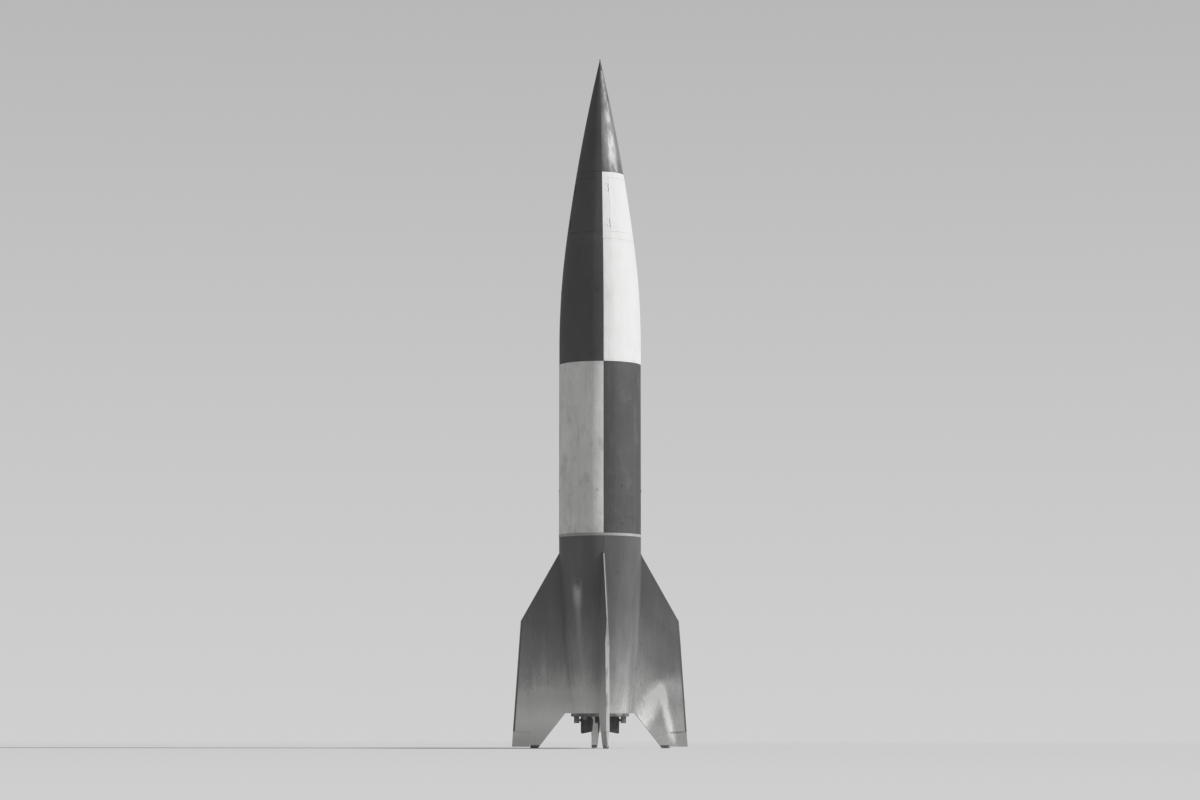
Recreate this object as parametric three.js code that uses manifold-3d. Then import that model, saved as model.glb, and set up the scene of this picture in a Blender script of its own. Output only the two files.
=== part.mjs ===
// A single-stage liquid-fuel sounding rocket of the 1940s, standing on its four fins.
// Units are millimetres, +Z is up, and the origin is on the ground under the rocket's axis.
// Fins 1 to 4 point along +X, +Y, -X and -Y, and quadrant 1 lies between fins 1 and 2.
import * as THREE from 'three';
import { mergeVertices } from 'three/addons/utils/BufferGeometryUtils.js';
import Module from 'manifold-3d';

const wasm = await Module();
wasm.setup();

// Driving dimensions of the whole rocket
const HEIGHT = 14030;
const BODY_RADIUS = 825.5;
const QUADRANTS = 4;
const SEGMENTS = 48;
const FIT = 0.4; // gap between two pieces that are bolted face to face
const CLEAR = 5; // least room about a moving piece

// Heights of the joints between the sections, measured from the ground
const TAIL_END = 630;
const RING_TOP = 690;
const TAIL_JOINT = 4220;
const PAINT_BREAK = 7720;
const BAY_FLOOR = 10220;
const BAY_TOP = 11620;
const TIP_BASE = 13800;

// Outline of the body: two arcs to the nose and one to the tail end
const NOSE_SLOPE = 0.232; // radius gained per unit of length at the very tip
const NOSE_ARC = 39000;
const NOSE_ARC_LENGTH = 3800;
const TAIL_END_RADIUS = 575;
const TIP_ROUND = 12;
const WALL = 45; // skin with its ribs and stringers

// Instrument bay: the rims stand above and below the doors, the lips back up the door edges
const BAY = {
  topRim: 120,
  floorRim: 150,
  lip: 20,
  lipDepth: 38,
  postHalfAngle: 14,
  postFlange: 3,
  postDepth: 52,
  doorThickness: 32,
  doorGap: CLEAR,
  plywood: 20,
};
const HINGE = { lift: 9, barrel: 7, gap: 3, length: 60, play: 2, inset: 190, leaf: 4, sunk: 10, reach: 55 };

// Fin, in the plane of its own radius (r) and height (z)
const FIN = {
  rootTop: 3945,
  shoulder: [1595, 2540],
  tip: [1765, 60],
  heel: [1205, 60],
  crotch: [705, 697],
  rootBottom: 520,
  rootTopRadius: 775,
  edgeHalf: 32,
  blankHalf: 200, // half thickness of the slab that the blade is cut from
  swell: 0.05, // half thickness gained per unit of length towards the root
  noseHalf: 8,
  noseBevel: 0.15,
};
const FOOT = { inner: 1250, outer: 1400, height: 60, half: 50 };
const AIR_VANE = {
  inner: 1416,
  notch: 1410, // the fin's corner is cut away outside this radius and under the notch's top
  notchTop: 330,
  socket: 33, // radius of the hollow in the fin's lower edge that the vane's round nose turns in
  axis: 315,
  nose: 27,
  bottom: 30,
  trail: 7,
  shaft: 15,
  shaftInner: 1300,
  bore: 17,
};
const JET_VANE = {
  inner: 135,
  topInner: 180,
  tipInner: 155,
  outer: 385,
  top: 650,
  bottom: 285,
  tipBottom: 330,
  axis: 560,
  half: 16,
  edge: 4,
  shaft: 20,
  shaftInner: 345,
  shaftOuter: 470,
  collar: 34,
  collarInner: 371,
  collarOuter: 397,
};
const BRACKET = { inner: 420, outer: 520, toe: 485, bottom: 500, heelTop: 560, half: 60, bore: 22.5 };

// Engine and the underside of the tail
const NOZZLE_WALL = 15;
const NOZZLE = [
  // inside radius and height of the bell, the throat and the pot above it, from the exit upwards
  [370, 680],
  [310, 880],
  [260, 1080],
  [200, 1380],
  [200, 1440],
  [391, 1700],
  [455, 1880],
  [364, 2190],
];
const NOZZLE_STEPS = 14;
const CHAMBER = { dome: 2330, domeRadius: 210, wall: 25 };
const TAIL_RING_DEPTH = 50;
const SHROUD = { inner: 392, bottom: 658, top: 674 };
const PUMP = { size: [640, 640, 760], bottom: 2720 };
const THRUST_FRAME = {
  drum: 200,
  plate: 500,
  plateThickness: 24,
  strutInner: 465, // the struts clear the pump block's corners
  strutHalf: 30,
  strutFoot: 70,
  strutHead: 150,
  top: 4050,
};
const EXHAUST = { radius: 462, outer: 48, inner: 40, bottom: 570 };
const VENT = {
  angle: -130,
  height: 3230,
  proud: 42,
  wide: 46,
  tall: 105,
  cutBelow: 79, // the blister ends flat this far under its middle
  throat: 22,
  throatLift: 3,
};
const JOINT_BAND = { height: 55, proud: 3, depth: 40 };

const BIG = 20000; // side of a cutting block, larger than the rocket
const DEGREE = Math.PI / 180;

const paint = {
  black: finish(0x505051, 0.7, 0.1),
  white: finish(0xe6e6e4, 0.55, 0.1),
  tail: finish(0x5d5d5c, 0.75, 0.1),
  metal: finish(0xb9baba, 0.45, 0.8),
  steel: finish(0x7c7d7e, 0.5, 0.8),
  graphite: finish(0x1f1f20, 0.8, 0.1),
  plywood: finish(0xb08d5a, 0.7, 0),
};

function finish(color, roughness, metalness) {
  return new THREE.MeshStandardMaterial({ color, roughness, metalness });
}

// A closed geometry as a solid that can be cut and joined
function solid(geometry) {
  const bare = geometry.clone();
  bare.deleteAttribute('normal');
  bare.deleteAttribute('uv');
  const merged = mergeVertices(bare, 1e-3);
  return new wasm.Manifold(
    new wasm.Mesh({
      numProp: 3,
      vertProperties: merged.attributes.position.array,
      triVerts: new Uint32Array(merged.index.array),
    }),
  );
}

function geometryOf(cutSolid) {
  const { vertProperties, triVerts } = cutSolid.getMesh();
  return new THREE.BufferGeometry()
    .setAttribute('position', new THREE.BufferAttribute(vertProperties, 3))
    .setIndex(new THREE.BufferAttribute(triVerts, 1));
}

// Turns a profile of [radius, height] points about the rocket's axis
function turned(profile, segments = SEGMENTS) {
  const points = profile.map(([r, z]) => new THREE.Vector2(r, z));
  return new THREE.LatheGeometry(points, segments).rotateX(Math.PI / 2);
}

// A flat outline of [r, z] points, given thickness to both sides of the radial plane
function plate(outline, half) {
  const shape = new THREE.Shape(outline.map(([r, z]) => new THREE.Vector2(r, z)));
  return new THREE.ExtrudeGeometry(shape, { depth: 2 * half, bevelEnabled: false })
    .translate(0, 0, -half)
    .rotateX(Math.PI / 2);
}

// Everything on the side of a plane that its normal points away from
function halfSpace(point, normal) {
  const turn = new THREE.Quaternion().setFromUnitVectors(
    new THREE.Vector3(0, 0, 1),
    new THREE.Vector3(...normal).normalize(),
  );
  const block = new THREE.BoxGeometry(BIG, BIG, BIG)
    .translate(0, 0, -BIG / 2)
    .applyQuaternion(turn)
    .translate(...point);
  return solid(block);
}

// The quarter of space between two neighbouring fins, held back from each fin's plane
function quarter(gap) {
  return solid(new THREE.BoxGeometry(BIG, BIG, 2 * BIG).translate(BIG / 2 + gap, BIG / 2 + gap, 0));
}

// The wedge between two angles, in degrees from fin 1
function wedge(from, to) {
  const corner = (angle) => [BIG * Math.cos(angle * DEGREE), BIG * Math.sin(angle * DEGREE)];
  const shape = new THREE.Shape([[0, 0], corner(from), corner(to)].map((p) => new THREE.Vector2(...p)));
  const prism = new THREE.ExtrudeGeometry(shape, { depth: BIG, bevelEnabled: false });
  return solid(prism);
}

// A round bar lying along +X, the radius of fin 1
function rod(radius, from, to, segments = 16) {
  return new THREE.CylinderGeometry(radius, radius, to - from, segments)
    .rotateZ(Math.PI / 2)
    .translate((from + to) / 2, 0, 0);
}

// Radius of the body's outside at a height above the ground
function skinRadius(z) {
  const slope = Math.atan(NOSE_SLOPE);
  const fromTip = HEIGHT - z;
  const noseEnd = Math.asin(Math.sin(slope) - NOSE_ARC_LENGTH / NOSE_ARC);
  const noseEndRadius = NOSE_ARC * (Math.cos(noseEnd) - Math.cos(slope));
  const shoulderArc = (BODY_RADIUS - noseEndRadius) / (1 - Math.cos(noseEnd));
  const shoulderEnd = NOSE_ARC_LENGTH + shoulderArc * Math.sin(noseEnd);
  const drop = BODY_RADIUS - TAIL_END_RADIUS;
  const tailLength = TAIL_JOINT - TAIL_END;
  const tailArc = (tailLength ** 2 + drop ** 2) / (2 * drop);
  if (fromTip <= NOSE_ARC_LENGTH) {
    const along = NOSE_ARC * Math.sin(slope) - fromTip;
    return Math.sqrt(NOSE_ARC ** 2 - along ** 2) - NOSE_ARC * Math.cos(slope);
  }
  if (fromTip < shoulderEnd) {
    return BODY_RADIUS - shoulderArc + Math.sqrt(shoulderArc ** 2 - (shoulderEnd - fromTip) ** 2);
  }
  if (z >= TAIL_JOINT) return BODY_RADIUS;
  return BODY_RADIUS - tailArc + Math.sqrt(tailArc ** 2 - (TAIL_JOINT - z) ** 2);
}

// Points down the outside of the body, or at a depth under it, from one height to another
function skinLine(from, to, steps, depth = 0) {
  return Array.from({ length: steps + 1 }, (_, i) => {
    const z = from + ((to - from) * i) / steps;
    return [skinRadius(z) - depth, z];
  });
}

// A closed profile of a wall between two heights
function wallProfile(from, to, steps, outerDepth, innerDepth) {
  return closed([
    ...skinLine(from, to, steps, outerDepth),
    ...skinLine(to, from, steps, innerDepth),
  ]);
}

function closed(profile) {
  return [...profile, profile[0]];
}

function piece(name, geometry, material) {
  const mesh = new THREE.Mesh(geometry, material);
  mesh.name = name;
  return mesh;
}

// Four like pieces, one to each fin or quadrant
function fourTimes(make) {
  return Array.from({ length: QUADRANTS }, (_, i) => {
    const turnedGroup = new THREE.Group();
    turnedGroup.rotation.z = (i * Math.PI) / 2;
    turnedGroup.add(...make(i + 1, i % 2 === 0));
    return turnedGroup;
  });
}

// Nose: a blackened tip screwed into a solid cone of bare metal
function noseTip() {
  const profile = [
    [0, TIP_BASE],
    ...skinLine(TIP_BASE, HEIGHT - TIP_ROUND, 2),
    [0, HEIGHT],
  ];
  return piece('nose_tip', turned(profile, 24), paint.black);
}

function noseCone() {
  const profile = [
    [0, BAY_TOP],
    ...skinLine(BAY_TOP, TIP_BASE - FIT, 5),
    [0, TIP_BASE - FIT],
  ];
  return piece('nose_cone', turned(profile), paint.metal);
}

// Instrument bay: two bulkheads, four posts, a plywood cross and four doors
function bayBulkheads() {
  const topEdge = BAY_TOP - BAY.topRim;
  const floorEdge = BAY_FLOOR + BAY.floorRim;
  const topLip = skinRadius(topEdge) - BAY.lipDepth - FIT;
  const floorLip = skinRadius(floorEdge + BAY.lip) - BAY.lipDepth - FIT;
  const top = [
    [0, topEdge - BAY.lip],
    [topLip, topEdge - BAY.lip],
    [topLip, topEdge],
    ...skinLine(topEdge, BAY_TOP - FIT, 1),
    [0, BAY_TOP - FIT],
  ];
  const floor = [
    [0, BAY_FLOOR + FIT],
    ...skinLine(BAY_FLOOR + FIT, floorEdge, 2),
    [floorLip, floorEdge],
    [floorLip, floorEdge + BAY.lip],
    [0, floorEdge + BAY.lip],
  ];
  return [
    piece('bay_top_bulkhead', turned(top), paint.black),
    piece('bay_floor_bulkhead', turned(floor), paint.black),
  ];
}

// Where a door's hinge line lies: the edge of the door nearer to the fin before it
function hingeFrame() {
  const low = BAY_FLOOR + BAY.floorRim;
  const high = BAY_TOP - BAY.topRim;
  const angle = BAY.postHalfAngle * DEGREE;
  const end = (z) => {
    const r = skinRadius(z);
    return new THREE.Vector3(r * Math.cos(angle), r * Math.sin(angle), z);
  };
  const up = end(high).sub(end(low)).normalize();
  const across = new THREE.Vector3(-Math.sin(angle), Math.cos(angle), 0);
  const out = new THREE.Vector3().crossVectors(across, up).normalize();
  const centre = end((low + high) / 2).addScaledVector(out, HINGE.lift);
  return { centre, up, across, out, length: high - low };
}

// Adds barrels and leaves of the hinge: a door's leaves lie on its own side, a post's on the other
function withHinges(carrier, side, places) {
  const { centre, up, across, out } = hingeFrame();
  const stand = new THREE.Matrix4().makeBasis(across, up, out).setPosition(centre);
  const leafThickness = HINGE.leaf + HINGE.sunk;
  const leafDepth = HINGE.lift - HINGE.leaf + leafThickness / 2;
  return places.reduce((made, place) => {
    const barrel = new THREE.CylinderGeometry(HINGE.barrel, HINGE.barrel, HINGE.length, 8)
      .translate(0, place, 0)
      .applyMatrix4(stand);
    const leaf = new THREE.BoxGeometry(HINGE.reach, HINGE.length, leafThickness)
      .translate(side * (HINGE.gap + HINGE.reach / 2), place, -leafDepth)
      .applyMatrix4(stand);
    return made.add(solid(barrel)).add(solid(leaf));
  }, carrier);
}

function bayPost(number) {
  const low = BAY_FLOOR + BAY.floorRim + BAY.lip + FIT;
  const high = BAY_TOP - BAY.topRim - BAY.lip - FIT;
  const rimLow = low - BAY.lip;
  const rimHigh = high + BAY.lip;
  const edge = BAY.postHalfAngle - (BAY.doorGap / 2 / BODY_RADIUS) / DEGREE;
  const outside = solid(turned(wallProfile(rimLow, rimHigh, 2, 0, BAY.lipDepth))).intersect(
    wedge(-edge, edge),
  );
  const flange = solid(turned(wallProfile(low, high, 2, BAY.lipDepth - 1, BAY.postDepth))).intersect(
    wedge(-edge - BAY.postFlange, edge + BAY.postFlange),
  );
  const reach = hingeFrame().length / 2 - HINGE.inset;
  const step = HINGE.length + HINGE.play;
  const places = [-reach - step, -reach + step, reach - step, reach + step];
  const post = withHinges(outside.add(flange), -1, places);
  return piece(`bay_post_${number}`, geometryOf(post), paint.black);
}

function bayDoor(number) {
  const low = BAY_FLOOR + BAY.floorRim + BAY.doorGap;
  const high = BAY_TOP - BAY.topRim - BAY.doorGap;
  const edge = BAY.postHalfAngle + (BAY.doorGap / 2 / BODY_RADIUS) / DEGREE;
  const panel = solid(turned(wallProfile(low, high, 2, 0, BAY.doorThickness))).intersect(
    wedge(edge, 90 - edge),
  );
  const reach = hingeFrame().length / 2 - HINGE.inset;
  const door = withHinges(panel, 1, [-reach, reach]);
  return piece(`bay_door_${number}`, geometryOf(door), number % 2 ? paint.black : paint.white);
}

function bayPartitions() {
  const low = BAY_FLOOR + BAY.floorRim + BAY.lip + FIT;
  const high = BAY_TOP - BAY.topRim - BAY.lip - FIT;
  const half = BAY.plywood / 2;
  const reach = (z) => skinRadius(z) - BAY.postDepth - 1;
  const sheet = (inner) =>
    plate([[inner(low), low], [reach(low), low], [reach(high), high], [inner(high), high]], half);
  const long = sheet((z) => -reach(z));
  const short = () => sheet(() => half + FIT);
  return [
    piece('bay_partition_long', long, paint.plywood),
    piece('bay_partition_front', short().rotateZ(-Math.PI / 2), paint.plywood),
    piece('bay_partition_back', short().rotateZ(Math.PI / 2), paint.plywood),
  ];
}

// Centre section: skin panels a quadrant wide, black and white in turn
function skinPanel(name, from, to, steps, material) {
  const ring = solid(turned(wallProfile(from + FIT, to - FIT, steps, 0, WALL)));
  return piece(name, geometryOf(ring.intersect(quarter(FIT))), material);
}

function jointBand() {
  const top = TAIL_JOINT + JOINT_BAND.height;
  const profile = closed([
    [BODY_RADIUS - JOINT_BAND.depth, TAIL_JOINT],
    [BODY_RADIUS + JOINT_BAND.proud, TAIL_JOINT],
    [BODY_RADIUS + JOINT_BAND.proud, top],
    [BODY_RADIUS - JOINT_BAND.depth, top],
  ]);
  return piece('tail_joint_band', turned(profile), paint.white);
}

// A fin blade with a sharp leading edge, thicker towards the body. With grow it is larger all round,
// which gives the slot that the fin fills in the tail's skin.
function finBlade(grow) {
  const { rootTop, shoulder, tip, heel, crotch, rootBottom, rootTopRadius } = FIN;
  const noseEnd = [skinRadius(rootTop) - WALL / 2, rootTop];
  const outline = [
    [rootTopRadius, rootTop + grow],
    [rootBottom, crotch[1] - grow],
    [crotch[0], crotch[1] - grow],
    heel,
    tip,
    shoulder,
    [noseEnd[0], rootTop + grow],
  ];
  const run = new THREE.Vector2(noseEnd[0] - shoulder[0], noseEnd[1] - shoulder[1]).normalize();
  return [1, -1].reduce((blade, side) => {
    const flank = halfSpace([tip[0], side * (FIN.edgeHalf + grow), 0], [FIN.swell, side, 0]);
    const bevel = halfSpace(
      [shoulder[0], side * (FIN.noseHalf + grow), shoulder[1]],
      [run.y * FIN.noseBevel, side, -run.x * FIN.noseBevel],
    );
    return blade.intersect(flank).intersect(bevel);
  }, solid(plate(outline, FIN.blankHalf)));
}

// The blade, with its lower outer corner cut away for the air vane
function fin(number) {
  const { inner, notch, notchTop, socket, axis, bore, shaftInner } = AIR_VANE;
  const beyond = 2 * FIN.tip[0];
  const cutOff = [[notch, -notchTop], [beyond, -notchTop], [beyond, notchTop], [notch, notchTop]];
  const corner = plate(cutOff, FIN.blankHalf);
  const hollow = rod(socket, notch, beyond, 24).translate(0, 0, axis);
  const shaftBore = rod(bore, shaftInner - CLEAR, inner).translate(0, 0, axis);
  const blade = [corner, hollow, shaftBore].reduce((made, cut) => made.subtract(solid(cut)), finBlade(0));
  return piece(`fin_${number}`, geometryOf(blade), paint.tail);
}

function finFoot(number) {
  const top = FOOT.height - FIT;
  const outline = [[FOOT.inner, 0], [FOOT.outer, 0], [FOOT.outer, top], [FIN.heel[0], top]];
  return piece(`fin_foot_${number}`, plate(outline, FOOT.half), paint.steel);
}

// Air vane: round nose about its shaft, tapering down to a thin trailing edge
function airVane(number) {
  const { inner, axis, nose, bottom, trail, shaft, shaftInner } = AIR_VANE;
  const lean = (FIN.tip[0] - FIN.shoulder[0]) / (FIN.shoulder[1] - FIN.tip[1]);
  const outerEnd = halfSpace([FIN.tip[0], 0, FIN.tip[1]], [1, 0, lean]);
  const section = new THREE.Shape();
  section.moveTo(-trail, bottom);
  section.lineTo(trail, bottom);
  section.lineTo(nose, axis);
  section.absarc(0, axis, nose, 0, Math.PI, false);
  section.lineTo(-trail, bottom);
  const body = new THREE.ExtrudeGeometry(section, {
    depth: FIN.tip[0] + nose - inner,
    bevelEnabled: false,
    curveSegments: 8,
  });
  // The extrusion runs along +Z with the section's height along +Y, so it is laid along +X and stood up
  body.applyMatrix4(new THREE.Matrix4().makeBasis(
    new THREE.Vector3(0, 1, 0),
    new THREE.Vector3(0, 0, 1),
    new THREE.Vector3(1, 0, 0),
  ));
  body.translate(inner, 0, 0);
  const stub = rod(shaft, shaftInner, inner + nose).translate(0, 0, axis);
  const vane = solid(body).intersect(outerEnd).add(solid(stub));
  return piece(`air_vane_${number}`, geometryOf(vane), paint.tail);
}

// Jet vane: a graphite blade in the exhaust, on a steel shaft held by a bracket under the tail ring
function jetVane(number) {
  const { inner, topInner, tipInner, outer, top, bottom, tipBottom, axis, half, edge } = JET_VANE;
  const { shaft, shaftInner, shaftOuter, collar, collarInner, collarOuter } = JET_VANE;
  const outline = [
    [topInner, top],
    [outer, top],
    [outer, bottom],
    [tipInner, tipBottom],
    [inner, axis],
  ];
  const blade = [1, -1].reduce(
    (made, side) =>
      made
        .intersect(halfSpace([0, side * edge, bottom], [0, side, -half / (axis - bottom)]))
        .intersect(halfSpace([0, side * edge, top], [0, side, half / (top - axis)])),
    solid(plate(outline, half)),
  );
  const stub = solid(rod(shaft, shaftInner, shaftOuter).translate(0, 0, axis));
  const plateEnd = solid(rod(collar, collarInner, collarOuter).translate(0, 0, axis));
  return piece(`jet_vane_${number}`, geometryOf(blade.add(stub).add(plateEnd)), paint.graphite);
}

function vaneBracket(number) {
  const { inner, outer, toe, bottom, heelTop, half, bore } = BRACKET;
  const top = SHROUD.bottom - FIT;
  const outline = [[inner, bottom], [toe, bottom], [outer, heelTop], [outer, top], [inner, top]];
  const hole = rod(bore, inner - CLEAR, JET_VANE.shaftOuter + CLEAR).translate(0, 0, JET_VANE.axis);
  const block = solid(plate(outline, half)).subtract(solid(hole));
  return piece(`vane_bracket_${number}`, geometryOf(block), paint.steel);
}

function tailSkin(number) {
  const ring = solid(turned(wallProfile(RING_TOP + FIT, TAIL_JOINT - FIT, 6, 0, WALL)));
  const slotHere = finBlade(FIT);
  const slotNext = finBlade(FIT).rotate([0, 0, 90]);
  const panel = ring.intersect(quarter(FIT)).subtract(slotHere).subtract(slotNext);
  return piece(`tail_skin_${number}`, geometryOf(panel), paint.tail);
}

function tailRing() {
  const ring = turned(wallProfile(TAIL_END, RING_TOP - FIT, 1, 0, TAIL_RING_DEPTH));
  return piece('tail_ring', ring, paint.steel);
}

function baseShroud() {
  const outer = skinRadius(TAIL_END) - TAIL_RING_DEPTH - FIT;
  const profile = closed([
    [SHROUD.inner, SHROUD.bottom],
    [outer, SHROUD.bottom],
    [outer, SHROUD.top],
    [SHROUD.inner, SHROUD.top],
  ]);
  return piece('base_shroud', turned(profile), paint.steel);
}

// Thrust chamber: a bell that opens downwards, a throat, and the combustion pot over it
function thrustChamber() {
  const line = new THREE.SplineCurve(NOZZLE.map((point) => new THREE.Vector2(...point)));
  const shell = (wall) => line.getPoints(NOZZLE_STEPS).map(({ x, y }) => [x + wall, y]);
  const profile = closed([
    ...shell(NOZZLE_WALL),
    [CHAMBER.domeRadius, CHAMBER.dome],
    [0, CHAMBER.dome],
    [0, CHAMBER.dome - CHAMBER.wall],
    [CHAMBER.domeRadius - CHAMBER.wall, CHAMBER.dome - CHAMBER.wall],
    ...shell(0).reverse(),
  ]);
  return piece('thrust_chamber', turned(profile, 32), paint.steel);
}

// A drum on the chamber's head, a round plate that carries the turbopump, and four struts to the skin
function thrustFrame() {
  const { drum, plate: plateRadius, plateThickness, strutInner, strutHalf, strutFoot, strutHead, top } =
    THRUST_FRAME;
  const seat = PUMP.bottom - FIT;
  const under = seat - plateThickness;
  const core = solid(turned([
    [0, CHAMBER.dome + FIT],
    [drum, CHAMBER.dome + FIT],
    [drum, under],
    [plateRadius, under],
    [plateRadius, seat],
    [0, seat],
  ]));
  const inside = solid(turned([
    [0, RING_TOP],
    ...skinLine(RING_TOP, TAIL_JOINT, 6, WALL + FIT),
    [0, TAIL_JOINT],
  ]));
  const root = (seat + under) / 2;
  const outline = [
    [strutInner, root],
    [plateRadius - strutHalf / 2, root],
    [BODY_RADIUS, top - strutHead],
    [BODY_RADIUS, top],
    [strutInner, seat + strutFoot],
  ];
  const strut = solid(plate(outline, strutHalf)).intersect(inside);
  const frame = [45, 135, 225, 315].reduce((made, angle) => made.add(strut.rotate([0, 0, angle])), core);
  return piece('thrust_frame', geometryOf(frame), paint.steel);
}

function pumpBlock() {
  const block = new THREE.BoxGeometry(...PUMP.size).translate(0, 0, PUMP.bottom + PUMP.size[2] / 2);
  return piece('turbopump_block', block, paint.steel);
}

function turbineExhaust(number, angle) {
  const profile = closed([
    [EXHAUST.inner, EXHAUST.bottom],
    [EXHAUST.outer, EXHAUST.bottom],
    [EXHAUST.outer, SHROUD.bottom - FIT],
    [EXHAUST.inner, SHROUD.bottom - FIT],
  ]);
  const pipe = turned(profile, 24).translate(
    EXHAUST.radius * Math.cos(angle * DEGREE),
    EXHAUST.radius * Math.sin(angle * DEGREE),
    0,
  );
  return piece(`turbine_exhaust_${number}`, pipe, paint.steel);
}

// A small blister on the tail's skin whose mouth faces down
function oxygenVent() {
  const blister = new THREE.SphereGeometry(1, 12, 8)
    .scale(VENT.proud, VENT.wide, VENT.tall)
    .translate(skinRadius(VENT.height), 0, VENT.height);
  const mouth = new THREE.CylinderGeometry(VENT.throat / 2, VENT.throat / 2, VENT.tall, 12)
    .rotateX(Math.PI / 2)
    .translate(skinRadius(VENT.height) + VENT.throat / 2 + VENT.throatLift, 0, VENT.height - VENT.tall / 2);
  const body = turned([
    [0, RING_TOP],
    ...skinLine(RING_TOP, TAIL_JOINT, 6, -FIT),
    [0, TAIL_JOINT],
  ]);
  const low = halfSpace([0, 0, VENT.height - VENT.cutBelow], [0, 0, -1]);
  const shell = solid(blister).intersect(low).subtract(solid(mouth)).rotate([0, 0, VENT.angle]);
  return piece('oxygen_vent', geometryOf(shell.subtract(solid(body))), paint.metal);
}

const rocket = new THREE.Group();
rocket.name = 'sounding_rocket';
rocket.add(
  noseTip(),
  noseCone(),
  ...bayBulkheads(),
  ...bayPartitions(),
  ...fourTimes((number, odd) => [
    bayPost(number),
    bayDoor(number),
    skinPanel(`upper_skin_${number}`, PAINT_BREAK, BAY_FLOOR, 3, odd ? paint.black : paint.white),
    skinPanel(
      `lower_skin_${number}`,
      TAIL_JOINT + JOINT_BAND.height,
      PAINT_BREAK,
      1,
      odd ? paint.white : paint.black,
    ),
    tailSkin(number),
    fin(number),
    finFoot(number),
    airVane(number),
    jetVane(number),
    vaneBracket(number),
  ]),
  jointBand(),
  tailRing(),
  baseShroud(),
  thrustChamber(),
  thrustFrame(),
  pumpBlock(),
  turbineExhaust(1, 45),
  turbineExhaust(2, 225),
  oxygenVent(),
);

export default rocket;
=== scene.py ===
"""A 1940s liquid-fuel sounding rocket, dressed over its construction model.

Everything is in metres in the model's own frame: +Z is up and the origin is on the ground under
the rocket's axis. Fins 1 to 4 point along +X, +Y, -X and -Y, and quadrant 1 lies between fins 1
and 2. Each piece is made for fin 1 or quadrant 1 and turned a quarter for each of the others.
"""

import math

import bmesh
import bpy
from bpy.props import FloatProperty, FloatVectorProperty, IntProperty, PointerProperty
from mathutils import Matrix, Vector


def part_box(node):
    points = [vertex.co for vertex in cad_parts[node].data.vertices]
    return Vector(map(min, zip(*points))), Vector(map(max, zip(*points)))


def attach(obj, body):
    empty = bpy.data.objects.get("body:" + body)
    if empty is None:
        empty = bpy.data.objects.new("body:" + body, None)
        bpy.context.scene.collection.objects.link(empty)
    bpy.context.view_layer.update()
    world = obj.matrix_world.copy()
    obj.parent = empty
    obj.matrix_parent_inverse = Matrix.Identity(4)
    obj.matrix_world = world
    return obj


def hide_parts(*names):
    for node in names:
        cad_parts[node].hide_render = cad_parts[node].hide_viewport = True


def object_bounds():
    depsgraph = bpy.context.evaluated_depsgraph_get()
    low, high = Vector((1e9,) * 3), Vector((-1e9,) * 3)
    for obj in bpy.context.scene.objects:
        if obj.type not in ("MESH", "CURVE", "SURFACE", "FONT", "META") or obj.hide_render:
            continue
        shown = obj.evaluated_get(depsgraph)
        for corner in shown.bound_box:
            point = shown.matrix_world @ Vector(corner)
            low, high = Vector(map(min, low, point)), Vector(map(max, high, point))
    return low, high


bl_info = {
    "name": "Sounding Rocket",
    "version": (1, 0, 0),
    "blender": (4, 5, 0),
    "location": "View3D > Sidebar > Rocket",
    "description": "Skins, fins, vanes, doors and finishes of a 1940s sounding rocket",
    "category": "Add Mesh",
}

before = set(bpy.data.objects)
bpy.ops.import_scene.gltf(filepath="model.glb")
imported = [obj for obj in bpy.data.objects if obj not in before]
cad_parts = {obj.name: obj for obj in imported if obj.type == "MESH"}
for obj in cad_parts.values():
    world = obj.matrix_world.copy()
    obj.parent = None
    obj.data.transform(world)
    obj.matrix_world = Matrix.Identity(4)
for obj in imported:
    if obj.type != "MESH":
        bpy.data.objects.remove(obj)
CAD_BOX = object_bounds()

AIRFRAME = "airframe"
NUMBERS = (1, 2, 3, 4)
FULL_TURN = math.tau
QUARTER = math.pi / 2
UP = Vector((0, 0, 1))

# Width of the picture over its height
PICTURE_SHAPE = 1200 / 800

# Points closer than this become one, and edges that turn by less than this are shaded smoothly
MERGE = 1e-6
SMOOTH_ANGLE = math.radians(38)

# Heads of rivets and bolts
RIVET_HEIGHT = 0.002
HEAD_SIDES = 6

# Heights of the joints between the sections
HEIGHT = CAD_BOX[1].z
TAIL_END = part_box("tail_ring")[0].z
RING_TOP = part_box("tail_ring")[1].z
TAIL_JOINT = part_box("tail_joint_band")[0].z
BAND_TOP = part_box("tail_joint_band")[1].z
PAINT_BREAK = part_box("upper_skin_1")[0].z
BAY_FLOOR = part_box("bay_floor_bulkhead")[0].z
BAY_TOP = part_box("nose_cone")[0].z
TIP_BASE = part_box("nose_tip")[0].z

# The body's outline: two arcs to the nose and one to the tail end
BODY_RADIUS = 0.8255
NOSE_SLOPE = 0.232
NOSE_ARC = 39.0
NOSE_ARC_LENGTH = 3.8
TAIL_END_RADIUS = 0.575
WALL = 0.045

# Instrument bay, as the construction model has it
TOP_RIM = 0.12
FLOOR_RIM = 0.15
LIP = 0.02
LIP_DEPTH = 0.038
POST_HALF_ANGLE = math.radians(14)
POST_DEPTH = 0.052
DOOR_THICKNESS = 0.032
DOOR_GAP = 0.005
HINGE_LIFT = 0.009
HINGE_BARREL = 0.007
HINGE_LENGTH = 0.06
HINGE_PLAY = 0.002
HINGE_INSET = 0.19
OPENING_LOW = BAY_FLOOR + FLOOR_RIM
OPENING_HIGH = BAY_TOP - TOP_RIM
HINGE_REACH = (OPENING_HIGH - OPENING_LOW) / 2 - HINGE_INSET

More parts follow.
